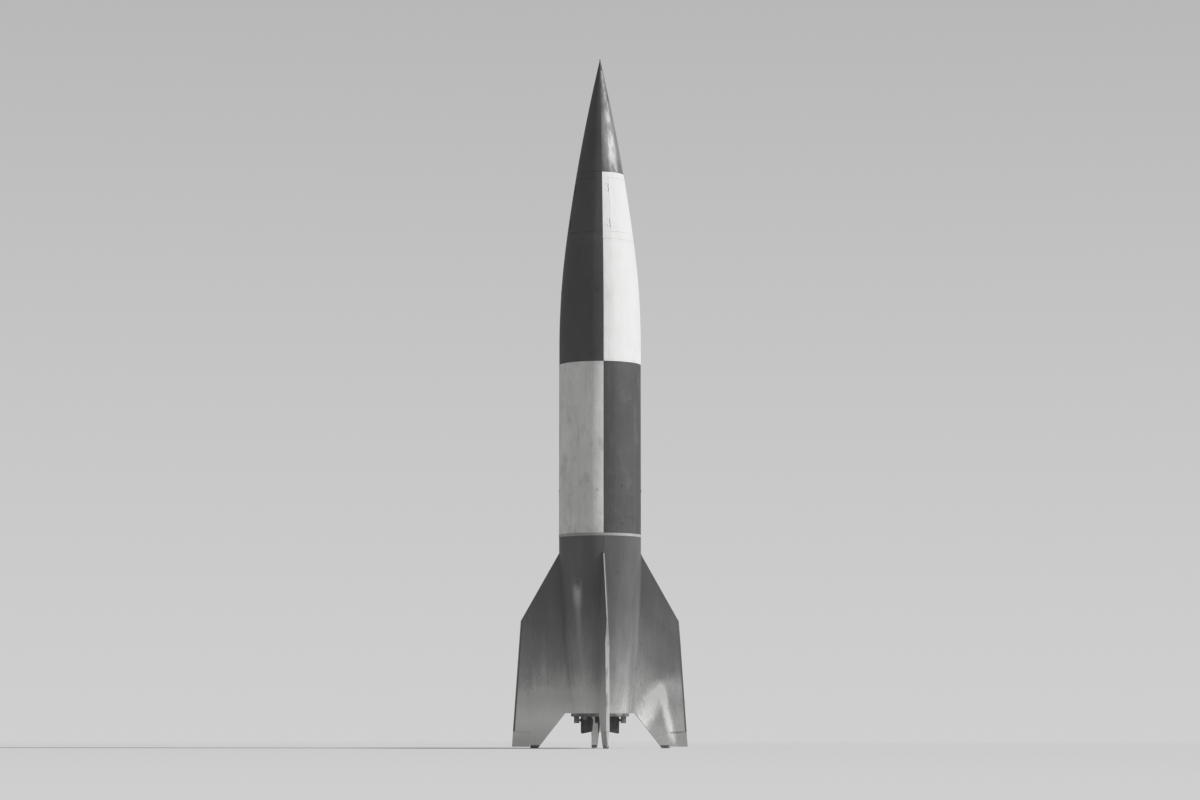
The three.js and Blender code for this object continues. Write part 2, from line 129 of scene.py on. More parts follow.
# Fin, as points of its own radius and height
FIN_ROOT_TOP = 3.945
FIN_SHOULDER = (1.595, 2.54)
FIN_TIP = (1.765, 0.06)
FIN_LEAN = (FIN_TIP[0] - FIN_SHOULDER[0]) / (FIN_SHOULDER[1] - FIN_TIP[1])
FIN_HEEL = (1.205, 0.06)
FIN_CROTCH = (0.705, 0.697)
FIN_ROOT_BOTTOM = 0.52
FIN_ROOT_TOP_RADIUS = 0.775
FIN_EDGE_HALF = 0.032
FIN_SWELL = 0.05
FIN_NOSE_HALF = 0.008
FIN_NOSE_BEVEL = 0.15
FIN_ROUND = 0.004
VANE_NOTCH = (1.41, 0.33)
VANE_SOCKET = 0.033

# Vanes, as points of the fin's radius and height
AIR_VANE_INNER = 1.416
AIR_VANE_AXIS = 0.315
AIR_VANE_NOSE = 0.027
AIR_VANE_TRAIL = 0.007
AIR_VANE_BOTTOM = 0.03
AIR_VANE_SHAFT = 0.015
JET_VANE_AXIS = 0.56
JET_VANE_INNER = 0.135
JET_VANE_OUTER = 0.385
JET_VANE_TOP = 0.65
JET_VANE_BOTTOM = 0.285
JET_VANE_TIP_BOTTOM = 0.33
JET_VANE_HALF = 0.016
JET_VANE_EDGE = 0.004
JET_VANE_SHAFT = 0.02
JET_VANE_COLLAR = 0.034

# The oxygen vent's place on the tail
VENT_ANGLE = math.radians(-130)
VENT_HEIGHT = 3.23


class RocketShape(bpy.types.PropertyGroup):
    """Sizes of what the construction model leaves plain."""

    facets: IntProperty(
        name="Facets", description="Steps in a quarter turn of the body", default=32, min=8, max=90
    )
    seam: FloatProperty(
        name="Seam", description="Gap between two sheets of the skin", default=0.0035, unit="LENGTH"
    )
    edge: FloatProperty(
        name="Edge", description="Rounding of a sheet's edges", default=0.0025, unit="LENGTH"
    )
    rivet: FloatProperty(
        name="Rivet", description="Radius of a rivet's head", default=0.007, unit="LENGTH"
    )
    pitch: FloatProperty(
        name="Rivet pitch", description="Distance between two rivets", default=0.06, unit="LENGTH"
    )


class RocketFinish(bpy.types.PropertyGroup):
    """Colours of the paint and the bare materials."""

    white: FloatVectorProperty(
        name="White", description="White paint", default=(0.80, 0.80, 0.79), subtype="COLOR"
    )
    black: FloatVectorProperty(
        name="Black", description="Black paint", default=(0.064, 0.064, 0.065), subtype="COLOR"
    )
    tail: FloatVectorProperty(
        name="Tail",
        description="Faded black paint of the tail",
        default=(0.092, 0.092, 0.093),
        subtype="COLOR",
    )
    # Also the colour of the painted flame glow on the tail
    dust: FloatVectorProperty(
        name="Dust", description="Pale dust and scorched paint", default=(0.58, 0.58, 0.57), subtype="COLOR"
    )
    grime: FloatVectorProperty(
        name="Grime",
        description="Dirt that runs down the sheets",
        default=(0.16, 0.155, 0.15),
        subtype="COLOR",
    )
    metal: FloatVectorProperty(
        name="Metal", description="Bare sheet metal", default=(0.62, 0.62, 0.62), subtype="COLOR"
    )
    steel: FloatVectorProperty(
        name="Steel", description="Dark heat-stained steel", default=(0.21, 0.205, 0.20), subtype="COLOR"
    )


class RocketStudio(bpy.types.PropertyGroup):
    """The camera, the light and the floor."""

    azimuth: FloatProperty(
        name="Azimuth", description="How far the camera stands to the right", default=-5, min=-180, max=180
    )
    distance: FloatProperty(
        name="Distance", description="From the camera to the rocket", default=65, unit="LENGTH"
    )
    eye: FloatProperty(
        name="Eye height", description="The camera's height over the floor", default=0.35, unit="LENGTH"
    )
    share: FloatProperty(
        name="Share", description="The rocket's share of the picture's height", default=0.87, min=0.1, max=1
    )
    sun: FloatProperty(name="Key light", description="Strength of the key light", default=4.2, min=0)
    sun_side: FloatProperty(
        name="Key side", description="Degrees from the camera round to the key light", default=78
    )
    sun_height: FloatProperty(
        name="Key height", description="Degrees of the key light over the floor", default=34
    )
    fill: FloatProperty(name="Fill light", description="Brightness of the room", default=0.29, min=0)
    backdrop: FloatProperty(
        name="Backdrop", description="Brightness of the backdrop", default=0.6, min=0
    )


def skin_radius(z):
    """Radius of the body's outside at a height."""
    slope = math.atan(NOSE_SLOPE)
    from_tip = HEIGHT - z
    nose_end = math.asin(math.sin(slope) - NOSE_ARC_LENGTH / NOSE_ARC)
    nose_end_radius = NOSE_ARC * (math.cos(nose_end) - math.cos(slope))
    shoulder_arc = (BODY_RADIUS - nose_end_radius) / (1 - math.cos(nose_end))
    shoulder_end = NOSE_ARC_LENGTH + shoulder_arc * math.sin(nose_end)
    drop = BODY_RADIUS - TAIL_END_RADIUS
    tail_arc = ((TAIL_JOINT - TAIL_END) ** 2 + drop**2) / (2 * drop)
    if from_tip <= NOSE_ARC_LENGTH:
        along = NOSE_ARC * math.sin(slope) - from_tip
        return math.sqrt(NOSE_ARC**2 - along**2) - NOSE_ARC * math.cos(slope)
    if from_tip < shoulder_end:
        return BODY_RADIUS - shoulder_arc + math.sqrt(shoulder_arc**2 - (shoulder_end - from_tip) ** 2)
    if z >= TAIL_JOINT:
        return BODY_RADIUS
    return BODY_RADIUS - tail_arc + math.sqrt(tail_arc**2 - (TAIL_JOINT - z) ** 2)


def levels(start, end, count):
    """Evenly spaced values, both ends included."""
    return [start + (end - start) * i / count for i in range(count + 1)]


def ring(count):
    """Evenly spaced angles round the rocket's axis."""
    return [FULL_TURN * (i + 0.5) / count for i in range(count)]


def away(angle):
    """The level direction away from the rocket's axis at an angle."""
    return Vector((math.cos(angle), math.sin(angle), 0))


def skin_line(start, end, count, depth=0.0):
    """Points of the body's outline, or of a line under it, as (radius, height)."""
    return [(skin_radius(z) - depth, z) for z in levels(start, end, count)]


def wall_profile(start, end, count, depth):
    """The closed section of a wall that follows the body's outline."""
    return skin_line(start, end, count) + skin_line(end, start, count, depth)


def on_skin(angle, z, lift=0.0):
    """A point of the skin at an angle round the axis and a height, and the skin's normal there."""
    step = 0.01
    slope = (skin_radius(z + step) - skin_radius(z - step)) / (2 * step)
    out = Vector((math.cos(angle), math.sin(angle), -slope)).normalized()
    radius = skin_radius(z)
    return Vector((radius * math.cos(angle), radius * math.sin(angle), z)) + out * lift, out


def leading_edge():
    """Upper end of the fin's leading edge, and the edge's direction up from the shoulder."""
    top = Vector((skin_radius(FIN_ROOT_TOP) - WALL / 2, FIN_ROOT_TOP))
    return top, (top - Vector(FIN_SHOULDER)).normalized()


def fin_half(radius, z):
    """Half of the fin's thickness at a point of its flank."""
    run = leading_edge()[1]
    inside = (FIN_SHOULDER[0] - radius) * run.y - (FIN_SHOULDER[1] - z) * run.x
    flank = FIN_EDGE_HALF + FIN_SWELL * (FIN_TIP[0] - radius)
    return min(flank, FIN_NOSE_HALF + FIN_NOSE_BEVEL * inside)


def fin_edge_radius(z):
    """Radius of the fin's outer edge at a height under the shoulder."""
    share = (z - FIN_TIP[1]) / (FIN_SHOULDER[1] - FIN_TIP[1])
    return FIN_TIP[0] + (FIN_SHOULDER[0] - FIN_TIP[0]) * share


def spun(profile, sweep=FULL_TURN, start=0.0, steps=None):
    """A closed body: a profile of (radius, height) points turned about the rocket's axis."""
    bm = bmesh.new()
    verts = [bm.verts.new((radius, 0, z)) for radius, z in profile]
    whole = sweep == FULL_TURN
    if whole:
        on_axis = profile[0][0] == 0 and profile[-1][0] == 0
        followers = verts[1:] if on_axis else verts[1:] + verts[:1]
        for pair in zip(verts, followers):
            bm.edges.new(pair)
    else:
        bm.faces.new(verts)
    facets = bpy.context.scene.rocket_shape.facets
    bmesh.ops.spin(
        bm,
        geom=bm.verts[:] + bm.edges[:] + bm.faces[:],
        cent=(0, 0, 0),
        axis=UP,
        angle=sweep,
        steps=steps or max(2, round(facets * sweep / QUARTER)),
        use_merge=whole,
        use_duplicate=False,
    )
    clean(bm)
    turn(bm, start)
    return bm


def clean(bm):
    """Makes doubled points one and points all faces outwards."""
    bmesh.ops.remove_doubles(bm, verts=bm.verts, dist=MERGE)
    bmesh.ops.recalc_face_normals(bm, faces=bm.faces)


def turn(bm, angle):
    """Turns everything in a mesh about the rocket's axis."""
    bmesh.ops.rotate(bm, verts=bm.verts, cent=(0, 0, 0), matrix=Matrix.Rotation(angle, 3, "Z"))


def rounded(bm, geom, width, segments, affect="EDGES", clamp=False):
    """Rounds edges, or the corners of a flat shape."""
    bmesh.ops.bevel(
        bm,
        geom=geom,
        offset=width,
        affect=affect,
        segments=segments,
        profile=0.5,
        material=-1,
        clamp_overlap=clamp,
    )


def soften(bm, width, segments=2, over=35):
    """Rounds the edges that turn by more than so many degrees."""
    limit = math.radians(over)
    sharp = [e for e in bm.edges if e.is_manifold and e.calc_face_angle(0) > limit]
    rounded(bm, sharp, width, segments, clamp=True)


def carve(bm, point, normal):
    """Cuts away what lies on the normal's side of a plane and closes the cut."""
    cut = bmesh.ops.bisect_plane(
        bm,
        geom=bm.verts[:] + bm.edges[:] + bm.faces[:],
        plane_co=point,
        plane_no=normal,
        clear_outer=True,
        dist=MERGE,
    )
    edges = [e for e in cut["geom_cut"] if isinstance(e, bmesh.types.BMEdge)]
    bmesh.ops.holes_fill(bm, edges=edges, sides=0)
    bmesh.ops.recalc_face_normals(bm, faces=bm.faces)


def thicken(bm, faces, step):
    """Extrudes faces by a vector."""
    made = bmesh.ops.extrude_face_region(bm, geom=faces)["geom"]
    bmesh.ops.translate(bm, verts=[v for v in made if isinstance(v, bmesh.types.BMVert)], vec=step)


def slab(outline, half):
    """A plate in the plane of fin 1, from an outline of (radius, height) points."""
    bm = bmesh.new()
    face = bm.faces.new([bm.verts.new((radius, -half, z)) for radius, z in outline])
    thicken(bm, [face], (0, 2 * half, 0))
    bmesh.ops.recalc_face_normals(bm, faces=bm.faces)
    return bm


def place_on(position, normal):
    """The matrix that stands a shape up on a surface."""
    return Matrix.Translation(position) @ normal.to_track_quat("Z", "Y").to_matrix().to_4x4()


def disc(bm, position, normal, radius, height, sides=12, taper=0.8):
    """A low round head on a surface, a tenth of it sunk in."""
    centre = 0.4
    bmesh.ops.create_cone(
        bm,
        cap_ends=True,
        segments=sides,
        radius1=radius,
        radius2=radius * taper,
        depth=height,
        matrix=place_on(position + normal * height * centre, normal),
    )


def rivet(bm, position, normal):
    """A rivet's head on a surface."""
    disc(bm, position, normal, bpy.context.scene.rocket_shape.rivet, RIVET_HEIGHT, HEAD_SIDES)


def bolt(bm, position, normal, radius, height):
    """A six-sided bolt head on a surface."""
    disc(bm, position, normal, radius, height, HEAD_SIDES, taper=1.0)


def rod(bm, start, end, radius, sides=24):
    """A round bar between two points."""
    run = Vector(end) - Vector(start)
    bmesh.ops.create_cone(
        bm,
        cap_ends=True,
        segments=sides,
        radius1=radius,
        radius2=radius,
        depth=run.length,
        matrix=place_on((Vector(start) + Vector(end)) / 2, run.normalized()),
    )


def wrapped(bm, angle, height):
    """Lays a shape that was made flat at the origin (x round the body, y up, z out) on the skin."""
    for vert in bm.verts:
        around, up, out = vert.co
        z = height + up
        vert.co = on_skin(angle + around / skin_radius(z), z, out)[0]
    bmesh.ops.recalc_face_normals(bm, faces=bm.faces)
    return bm


def piece(bm, name, finish, nodes=(), body=AIRFRAME, quarter_turns=0):
    """Makes the mesh an object that moves with a body and stands for its nodes."""
    turn(bm, quarter_turns * QUARTER)
    mesh = bpy.data.meshes.new(name)
    bm.to_mesh(mesh)
    bm.free()
    mesh.shade_smooth()
    mesh.set_sharp_from_angle(angle=SMOOTH_ANGLE)
    mesh.materials.append(bpy.data.materials[finish])
    made = bpy.data.objects.new(name, mesh)
    bpy.context.scene.collection.objects.link(made)
    weighted = made.modifiers.new("Even shading", "WEIGHTED_NORMAL")
    weighted.keep_sharp = True
    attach(made, body)
    if nodes:
        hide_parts(*nodes)


def numbered(bm, name, finish, number, node=None, body=AIRFRAME):
    """Makes the mesh the piece of one fin or quadrant, turned to its place."""
    nodes = [f"{node}_{number}"] if node else []
    piece(bm, f"{name}_{number}", finish, nodes, body, number - 1)


def paint_of(number, odd, even):
    """The finish and the slot of a quadrant: 1 and 3 have one colour and 2 and 4 the other."""
    colour = odd if number % 2 else even
    return f"worn_{colour}", f"{colour}_paint"


def join(bm, other):
    """Adds another mesh to this one."""
    mesh = bpy.data.meshes.new("part")
    other.to_mesh(mesh)
    other.free()
    bm.from_mesh(mesh)
    bpy.data.meshes.remove(mesh)


class Socket:
    """A value in a material that takes part in formulas."""

    def __init__(self, finish, output):
        self.finish = finish
        self.output = output

    def __add__(self, other):
        return self.finish.math("ADD", self, other)

    def __sub__(self, other):
        return self.finish.math("SUBTRACT", self, other)

    def __rsub__(self, other):
        return self.finish.math("SUBTRACT", other, self)

    def __mul__(self, other):
        return self.finish.math("MULTIPLY", self, other)

    def __truediv__(self, other):
        return self.finish.math("DIVIDE", self, other)

    __radd__ = __add__
    __rmul__ = __mul__


class Finish:
    """A material in the making. Patterns are in metres, on the rocket's own coordinates."""

    def __init__(self, name, specular=0.5):
        self.material = bpy.data.materials.new(name)
        self.material.use_nodes = True
        self.tree = self.material.node_tree
        self.shader = self.tree.nodes["Principled BSDF"]
        self.shader.inputs["Specular IOR Level"].default_value = specular
        self.place = self.node("ShaderNodeTexCoord", output="Object")
        split = self.node("ShaderNodeSeparateXYZ", sockets={0: self.place})
        self.x, self.y, self.z = (Socket(self, o) for o in split.output.node.outputs)

    def node(self, kind, settings=None, sockets=None, output=0):
        """Adds a node of a type, with its settings and with the values or links of its sockets."""
        node = self.tree.nodes.new(kind)
        for key, value in (settings or {}).items():
            setattr(node, key, value)
        for key, value in (sockets or {}).items():
            self.feed(node.inputs[key], value)
        return Socket(self, node.outputs[output])

    def feed(self, socket, value):
        """Links a value of this material to a socket, or sets a plain one on it."""
        if isinstance(value, Socket):
            self.tree.links.new(value.output, socket)
        else:
            socket.default_value = value

    def set(self, **values):
        """Feeds the shader. A word's underscores stand for spaces."""
        for key, value in values.items():
            self.feed(self.shader.inputs[key.replace("_", " ").title()], value)

    def math(self, operation, first, second=0.0):
        """The result of a Math node, with one value or two."""
        return self.node("ShaderNodeMath", {"operation": operation}, {0: first, 1: second})

    def step(self, value, start, end):
        """0 before start and 1 after end, smoothly."""
        return self.node(
            "ShaderNodeMapRange",
            {"interpolation_type": "SMOOTHSTEP"},
            {"Value": value, "From Min": start, "From Max": end},
        )

    def mix(self, factor, first, second):
        """A colour between two colours."""
        sockets = {0: factor}
        for key, colour in ((6, first), (7, second)):
            sockets[key] = colour if isinstance(colour, Socket) else (*colour, 1)
        return self.node("ShaderNodeMix", {"data_type": "RGBA"}, sockets, output=2)

    def radius(self):
        """Distance from the rocket's axis."""
        return self.math("SQRT", self.x * self.x + self.y * self.y)

    def facing(self):
        """The x and y parts of the surface's normal, in the rocket's own directions."""
        normal = self.node("ShaderNodeTexCoord", output="Normal")
        split = self.node("ShaderNodeSeparateXYZ", sockets={0: normal}).output.node
        return Socket(self, split.outputs["X"]), Socket(self, split.outputs["Y"])

    def noise(self, around, up, detail=4.0, rough=0.55, shift=0.0):
        """Cloudy noise with so many features in a metre across and up."""
        stretched = self.node(
            "ShaderNodeVectorMath",
            {"operation": "MULTIPLY_ADD"},
            {0: self.place, 1: (around, around, up), 2: (shift, shift, shift)},
        )
        return self.node(
            "ShaderNodeTexNoise",
            sockets={"Vector": stretched, "Scale": 1.0, "Detail": detail, "Roughness": rough},
        )

    def bump(self, height, distance):
        """Gives the shader a relief whose height of 1 stands for so many metres."""
        self.set(normal=self.node("ShaderNodeBump", sockets={"Height": height, "Distance": distance}))

    def near(self, height, reach):
        """1 at a height and 0 from a reach above and below it."""
        return self.step(self.math("ABSOLUTE", self.z - height), reach, 0.0)


def scaled(colour, factor):
    """A colour made so many times as bright."""
    return [min(1, c * factor) for c in colour]


def sheet_bump(finish, frames, stringers, depth):
    """Height of a thin skin that sinks a little between the frames and stringers under it."""
    around = finish.math("ARCTAN2", finish.y, finish.x) * (stringers / 2)
    along = finish.z * (math.pi / frames)
    ribs = finish.math("ABSOLUTE", finish.math("SINE", around))
    rings = finish.math("ABSOLUTE", finish.math("SINE", along))
    pillow = ribs * rings
    dents = finish.noise(3.0, 1.6, detail=2.0)
    return (1.0 - pillow) * depth + dents * depth


def tones(finish, factor, colour):
    """A colour that is darker where the factor is 0 and lighter where it is 1."""
    return finish.mix(factor, scaled(colour, 0.86), scaled(colour, 1.06))


def painted(name, odd, even, grime, share, film=0.0):
    """Weathered matt paint on thin sheet metal, one colour in quadrants 1 and 3 and one in 2 and 4."""
    finish = Finish(name, specular=0.25)
    tone = finish.step(finish.noise(2.2, 0.9), 0.3, 0.72)
    shade = tones(finish, tone, odd)
    if even != odd:
        edge = 0.0002
        side = finish.step(finish.x * finish.y, -edge, edge)
        shade = finish.mix(side, tones(finish, tone, even), shade)
    low = finish.step(finish.z, PAINT_BREAK + 0.9, PAINT_BREAK - 0.6) * 0.8 + 0.2
    runs = finish.step(finish.noise(9.0, 0.35, detail=3.0, shift=4.0), 0.52, 0.8) * 0.5
    smudges = finish.step(finish.noise(3.6, 2.4, shift=6.0), 0.52, 0.72) * 0.55
    specks = finish.step(finish.noise(24.0, 18.0, detail=2.0, shift=9.0), 0.66, 0.74) * 0.8
    joints = finish.near(TAIL_JOINT + 0.1, 0.2)
    joints += finish.near(PAINT_BREAK, 0.12)
    joints += finish.near(BAY_FLOOR, 0.12)
    soiled = joints * finish.step(finish.noise(7.0, 5.0, shift=2.0), 0.4, 0.75) * 0.7
    dulled = finish.step(finish.z, PAINT_BREAK + 0.1, PAINT_BREAK - 0.1) * film
    dirt = finish.math("MINIMUM", (runs + smudges + specks) * low + soiled + dulled, 1.0) * share
    finish.set(
        base_color=finish.mix(dirt, shade, grime),
        roughness=finish.noise(5.0, 3.0) * 0.2 + 0.5,
    )
    finish.bump(sheet_bump(finish, 0.42, 24, 1.0) + finish.noise(60.0, 60.0) * 0.12, 0.0022)


def dusted_and_glow_lit(finish, colour, dust, extra):
    """Black paint that pales towards the base from heat and dust, and as painted flame glow there."""
    dust_glow_top, dust_glow_full = 3.4, 0.4
    foot_top, foot_full = 1.8, 0.5
    bleach_glow_top, bleach_glow_full = 1.35, 0.7
    thick_top, thick_full = 1.1, 0.5
    clouds = finish.noise(1.3, 0.5, detail=5.0, rough=0.6)
    wisps = finish.noise(6.0, 0.8, detail=4.0, shift=3.0)
    streaks = finish.noise(26.0, 0.9, detail=5.0, rough=0.65, shift=11.0)
    height = finish.z + (clouds - 0.5) * 1.5 + (wisps - 0.5) * 0.6 + (streaks - 0.5) * 0.5
    ragged = finish.z + (wisps - 0.5) * 0.3
    # Painted light: the shaded side (-x) gets more pale dust, bleaching and a lighter paint tone, standing
    # in for the flame's glow on it.
    shade_side_glow = finish.step(finish.x, 0.3, -0.5)
    # Painted shade: faces that point towards the key light (+x) get only half the dust, so the sunlit side
    # stays darker.
    sunny = finish.step(finish.facing()[0], 0.75, 1.0)
    side = (shade_side_glow * 0.55 + 1.0 - finish.x * 0.12) * (1.0 - sunny * 0.5)
    # Dust towards the base, which also stands in for painted flame glow.
    rising_dust_and_glow = finish.step(height, dust_glow_top, dust_glow_full) * 0.33
    rising_dust_and_glow = (rising_dust_and_glow + finish.step(height, foot_top, foot_full) * 0.4) * side
    # Painted flame glow: pale at the base, on the shaded side only.
    bleach_and_glow = finish.step(ragged, bleach_glow_top, bleach_glow_full) * (shade_side_glow * 0.55 - 0.02)
    # Painted light: the paint's tone is lighter on the shaded side.
    tone = finish.step(finish.noise(2.4, 0.8, shift=7.0), 0.3, 0.75) * 0.6 + shade_side_glow * 0.4
    shade = finish.mix(tone, scaled(colour, 0.8), scaled(colour, 1.3))
    grain = finish.step(finish.noise(34.0, 16.0, detail=5.0, rough=0.7, shift=5.0), 0.25, 0.7) * 0.3 + 0.8
    total = (rising_dust_and_glow + bleach_and_glow + extra) * grain
    pale = finish.math("MINIMUM", total, 1.0)
    # The thickest pale, mostly at the shaded foot, turns nearly white: partly dust, partly painted flame
    # glow.
    thick = finish.step(total, 0.95, 1.55) * finish.step(ragged, thick_top, thick_full)
    powder_and_glow = finish.mix(thick, dust, scaled(dust, 1.45))
    chips = finish.step(finish.noise(42.0, 30.0, detail=2.0, shift=13.0), 0.7, 0.74) * 0.5
    return finish.mix(chips, finish.mix(pale, shade, powder_and_glow), scaled(colour, 0.7)), pale


class FinishesOperator(bpy.types.Operator):
    """Makes the rocket's finishes"""

    bl_idname = "rocket.finishes"
    bl_label = "Finishes"

    def execute(self, context):
        colours = context.scene.rocket_finish
        white, black, grime = tuple(colours.white), tuple(colours.black), tuple(colours.grime)
        soot = scaled(black, 1.9)
        chalk = scaled(white, 0.45)
        painted("worn_white", white, white, grime, 0.42, film=0.4)
        painted("worn_black", black, black, soot, 0.6)
        painted("worn_band", chalk, chalk, grime, 0.3)
        painted("bay_finish", black, white, grime, 0.4)
        self.tail(colours)
        self.cone(colours)
        self.steel(colours)
        self.graphite()
        self.plywood()
        self.wear(colours)
        return {"FINISHED"}

    def tail(self, colours):
        """Black paint of the tail and fins, with the vent's frost, dust and painted flame glow towards the
        base, and painted flame glow on fin 1.
        """
        finish = Finish("worn_tail", specular=0.25)
        run_half, run_length, spot_half, spot_drop, spot_reach = 0.11, 1.9, 0.17, 0.18, 0.38
        vent_x, vent_y = math.cos(VENT_ANGLE), math.sin(VENT_ANGLE)
        across = finish.x * -vent_y + finish.y * vent_x
        facing = finish.step(finish.x * vent_x + finish.y * vent_y, 0.1, 0.3)
        ragged = (finish.noise(7.0, 1.2, shift=5.0) - 0.5) * 0.12
        width = finish.math("ABSOLUTE", across + ragged - (VENT_HEIGHT - finish.z) * 0.03)
        run = finish.step(width, run_half, 0.0)
        run *= finish.step(finish.z, VENT_HEIGHT + 0.05, VENT_HEIGHT - 0.1)
        fade = finish.step(finish.z, VENT_HEIGHT - run_length, VENT_HEIGHT - 0.3) * 0.27
        spot = finish.step(width, spot_half, 0.05) * finish.near(VENT_HEIGHT - spot_drop, spot_reach) * 0.33
        frost = (run * fade + spot) * facing
        shade, pale = dusted_and_glow_lit(finish, colours.tail, colours.dust, frost + self.glow_chevron(finish))
        finish.set(base_color=shade, roughness=pale * 0.25 + 0.45)
        finish.bump(sheet_bump(finish, 0.36, 16, 0.6) + finish.noise(60.0, 60.0) * 0.15, 0.002)

    def glow_chevron(self, finish):
        """Painted flame glow on the front of fin 1, in the colour of pale dust: two legs that lean together,
        a patch beside them and a haze.
        """
        peak, inner_foot, outer_foot = 1.2, 1.17, 1.22
        inner_half, outer_half, legs_top = 0.34, 0.12, 1.45
        haze_edge, haze_top = 1.1, 3.6
        brow_height, brow_reach = 1.22, 0.36
        cloud = (finish.noise(4.0, 4.0, detail=5.0, shift=8.0) - 0.5) * 0.3
        grain = finish.step(finish.noise(22.0, 6.0, detail=4.0, shift=1.0), 0.25, 0.6) * 0.35 + 0.65
        drop = peak - finish.z
        inner = finish.math("ABSOLUTE", finish.x - inner_foot + drop * 0.5 + cloud)
        outer = finish.math("ABSOLUTE", finish.x - outer_foot - drop * 0.24 + cloud * 0.3)
        legs = finish.step(inner, inner_half, 0.0) * 0.9 + finish.step(outer, outer_half, 0.0)
        tall = finish.step(finish.z, legs_top, 1.0) * finish.step(finish.z, -0.1, 0.35)
        # Only the face of fin 1 that points to -y gets the painted glow.
        front = finish.step(finish.y, 0.0, -0.01) * finish.step(finish.x, 0.62, 0.75)
        glow_haze = finish.step(finish.x, haze_edge, 0.74) * finish.step(finish.z, haze_top, 1.5) * 0.19
        brow = finish.step(finish.x, 1.2, 1.4) * finish.near(brow_height, brow_reach) * 0.26
        return (legs * tall + glow_haze + brow) * front * grain

    def cone(self, colours):
        """The nose: bare metal in quadrants 2 and 4, black paint in 1 and 3 and at the very tip."""
        finish = Finish("nose_finish", specular=0.25)
        dull_from, dull_to, foot_tall, edge = 12.35, 13.3, 0.4, 0.003
        radius = finish.math("MAXIMUM", finish.radius(), 0.01)
        ragged = (finish.noise(14.0, 5.0) - 0.5) * 0.012
        quarter = finish.step(finish.x * finish.y / radius + ragged, -edge, edge)
        mask = finish.math("MAXIMUM", quarter, finish.step(finish.z, TIP_BASE - 0.02, TIP_BASE))
        cloud = finish.noise(3.5, 1.2, detail=5.0)
        stain = finish.step(finish.noise(11.0, 4.0, detail=5.0, shift=2.0), 0.36, 0.66)
        dull = finish.step(finish.z + (cloud - 0.5) * 0.6, dull_from, dull_to)
        foot = finish.step(finish.z + (cloud - 0.5) * 0.3, BAY_TOP + foot_tall, BAY_TOP + 0.02)
        blots = finish.step(finish.noise(9.0, 3.4, detail=4.0, shift=12.0), 0.45, 0.62)
        dark = finish.math("MINIMUM", stain * 0.3 + foot * 0.5 + dull * 0.35 + blots * 0.25, 1.0)
        # Painted sheen: the bare metal is lighter on faces that point to +x, towards the key light.
        wear_and_sheen = finish.step(finish.facing()[0], 0.8, 1.0) * 0.7
        bare = finish.mix(dark, scaled(colours.metal, 0.38), scaled(colours.metal, 0.13))
        bare = finish.mix(wear_and_sheen, bare, scaled(colours.metal, 0.6))
        black = finish.mix(finish.step(cloud, 0.3, 0.7), scaled(colours.black, 0.8), colours.black)
        finish.set(
            base_color=finish.mix(mask, bare, black),
            metallic=1.0 - mask,
            roughness=mask * -0.06 + dull * 0.05 + cloud * 0.16 + blots * 0.05 + 0.51,
        )
        finish.bump(sheet_bump(finish, 0.5, 16, 0.7), 0.0015)

    def steel(self, colours):
        """Dark steel, stained by heat."""
        finish = Finish("hot_steel")
        heat = finish.step(finish.noise(6.0, 6.0, detail=5.0), 0.35, 0.7)
        scale = finish.noise(45.0, 45.0, detail=3.0)
        finish.set(
            base_color=finish.mix(heat, scaled(colours.steel, 0.6), scaled(colours.steel, 1.5)),
            metallic=0.8,
            roughness=scale * 0.3 + 0.32,
        )
        finish.bump(scale, 0.0008)

    def graphite(self):
        """Graphite with paler patches."""
        finish = Finish("vane_graphite")
        grain = finish.noise(120.0, 120.0, detail=3.0)
        patches = finish.step(finish.noise(12.0, 6.0), 0.4, 0.7)
        finish.set(
            base_color=finish.mix(patches, (0.03, 0.03, 0.032), (0.075, 0.075, 0.08)),
            roughness=grain * 0.2 + 0.55,
        )
        finish.bump(grain, 0.0006)

    def plywood(self):
        """Birch plywood with an upright grain."""
        finish = Finish("birch_plywood")
        grain = finish.noise(30.0, 1.4, detail=6.0, rough=0.7)
        finish.set(
            base_color=finish.mix(finish.step(grain, 0.3, 0.7), (0.36, 0.22, 0.1), (0.55, 0.38, 0.2)),
            roughness=grain * 0.2 + 0.4,
        )
        finish.bump(grain, 0.0008)

    def wear(self, colours):
        """Paint worn pale on the faces that point away from the axis, which also serves as a painted
        highlight along the fins' lit edges.
        """
        finish = Finish("worn_edge")
        side_x, side_y = finish.facing()
        radius = finish.radius()
        outward = finish.step((finish.x * side_x + finish.y * side_y) / radius, 0.25, 0.7)
        wear_and_sheen = finish.step(finish.noise(9.0, 1.5, detail=5.0), 0.24, 0.5)
        # Paler lower down, from dust and as painted flame glow.
        dusty_and_glowing = finish.step(finish.z, 3.0, 0.9) * 0.4 + 0.6
        worn = wear_and_sheen * outward * dusty_and_glowing
        finish.set(
            base_color=finish.mix(worn, scaled(colours.tail, 1.2), colours.dust),
            roughness=0.5 + worn * 0.2,
        )
        finish.bump(finish.noise(40.0, 40.0), 0.0005)


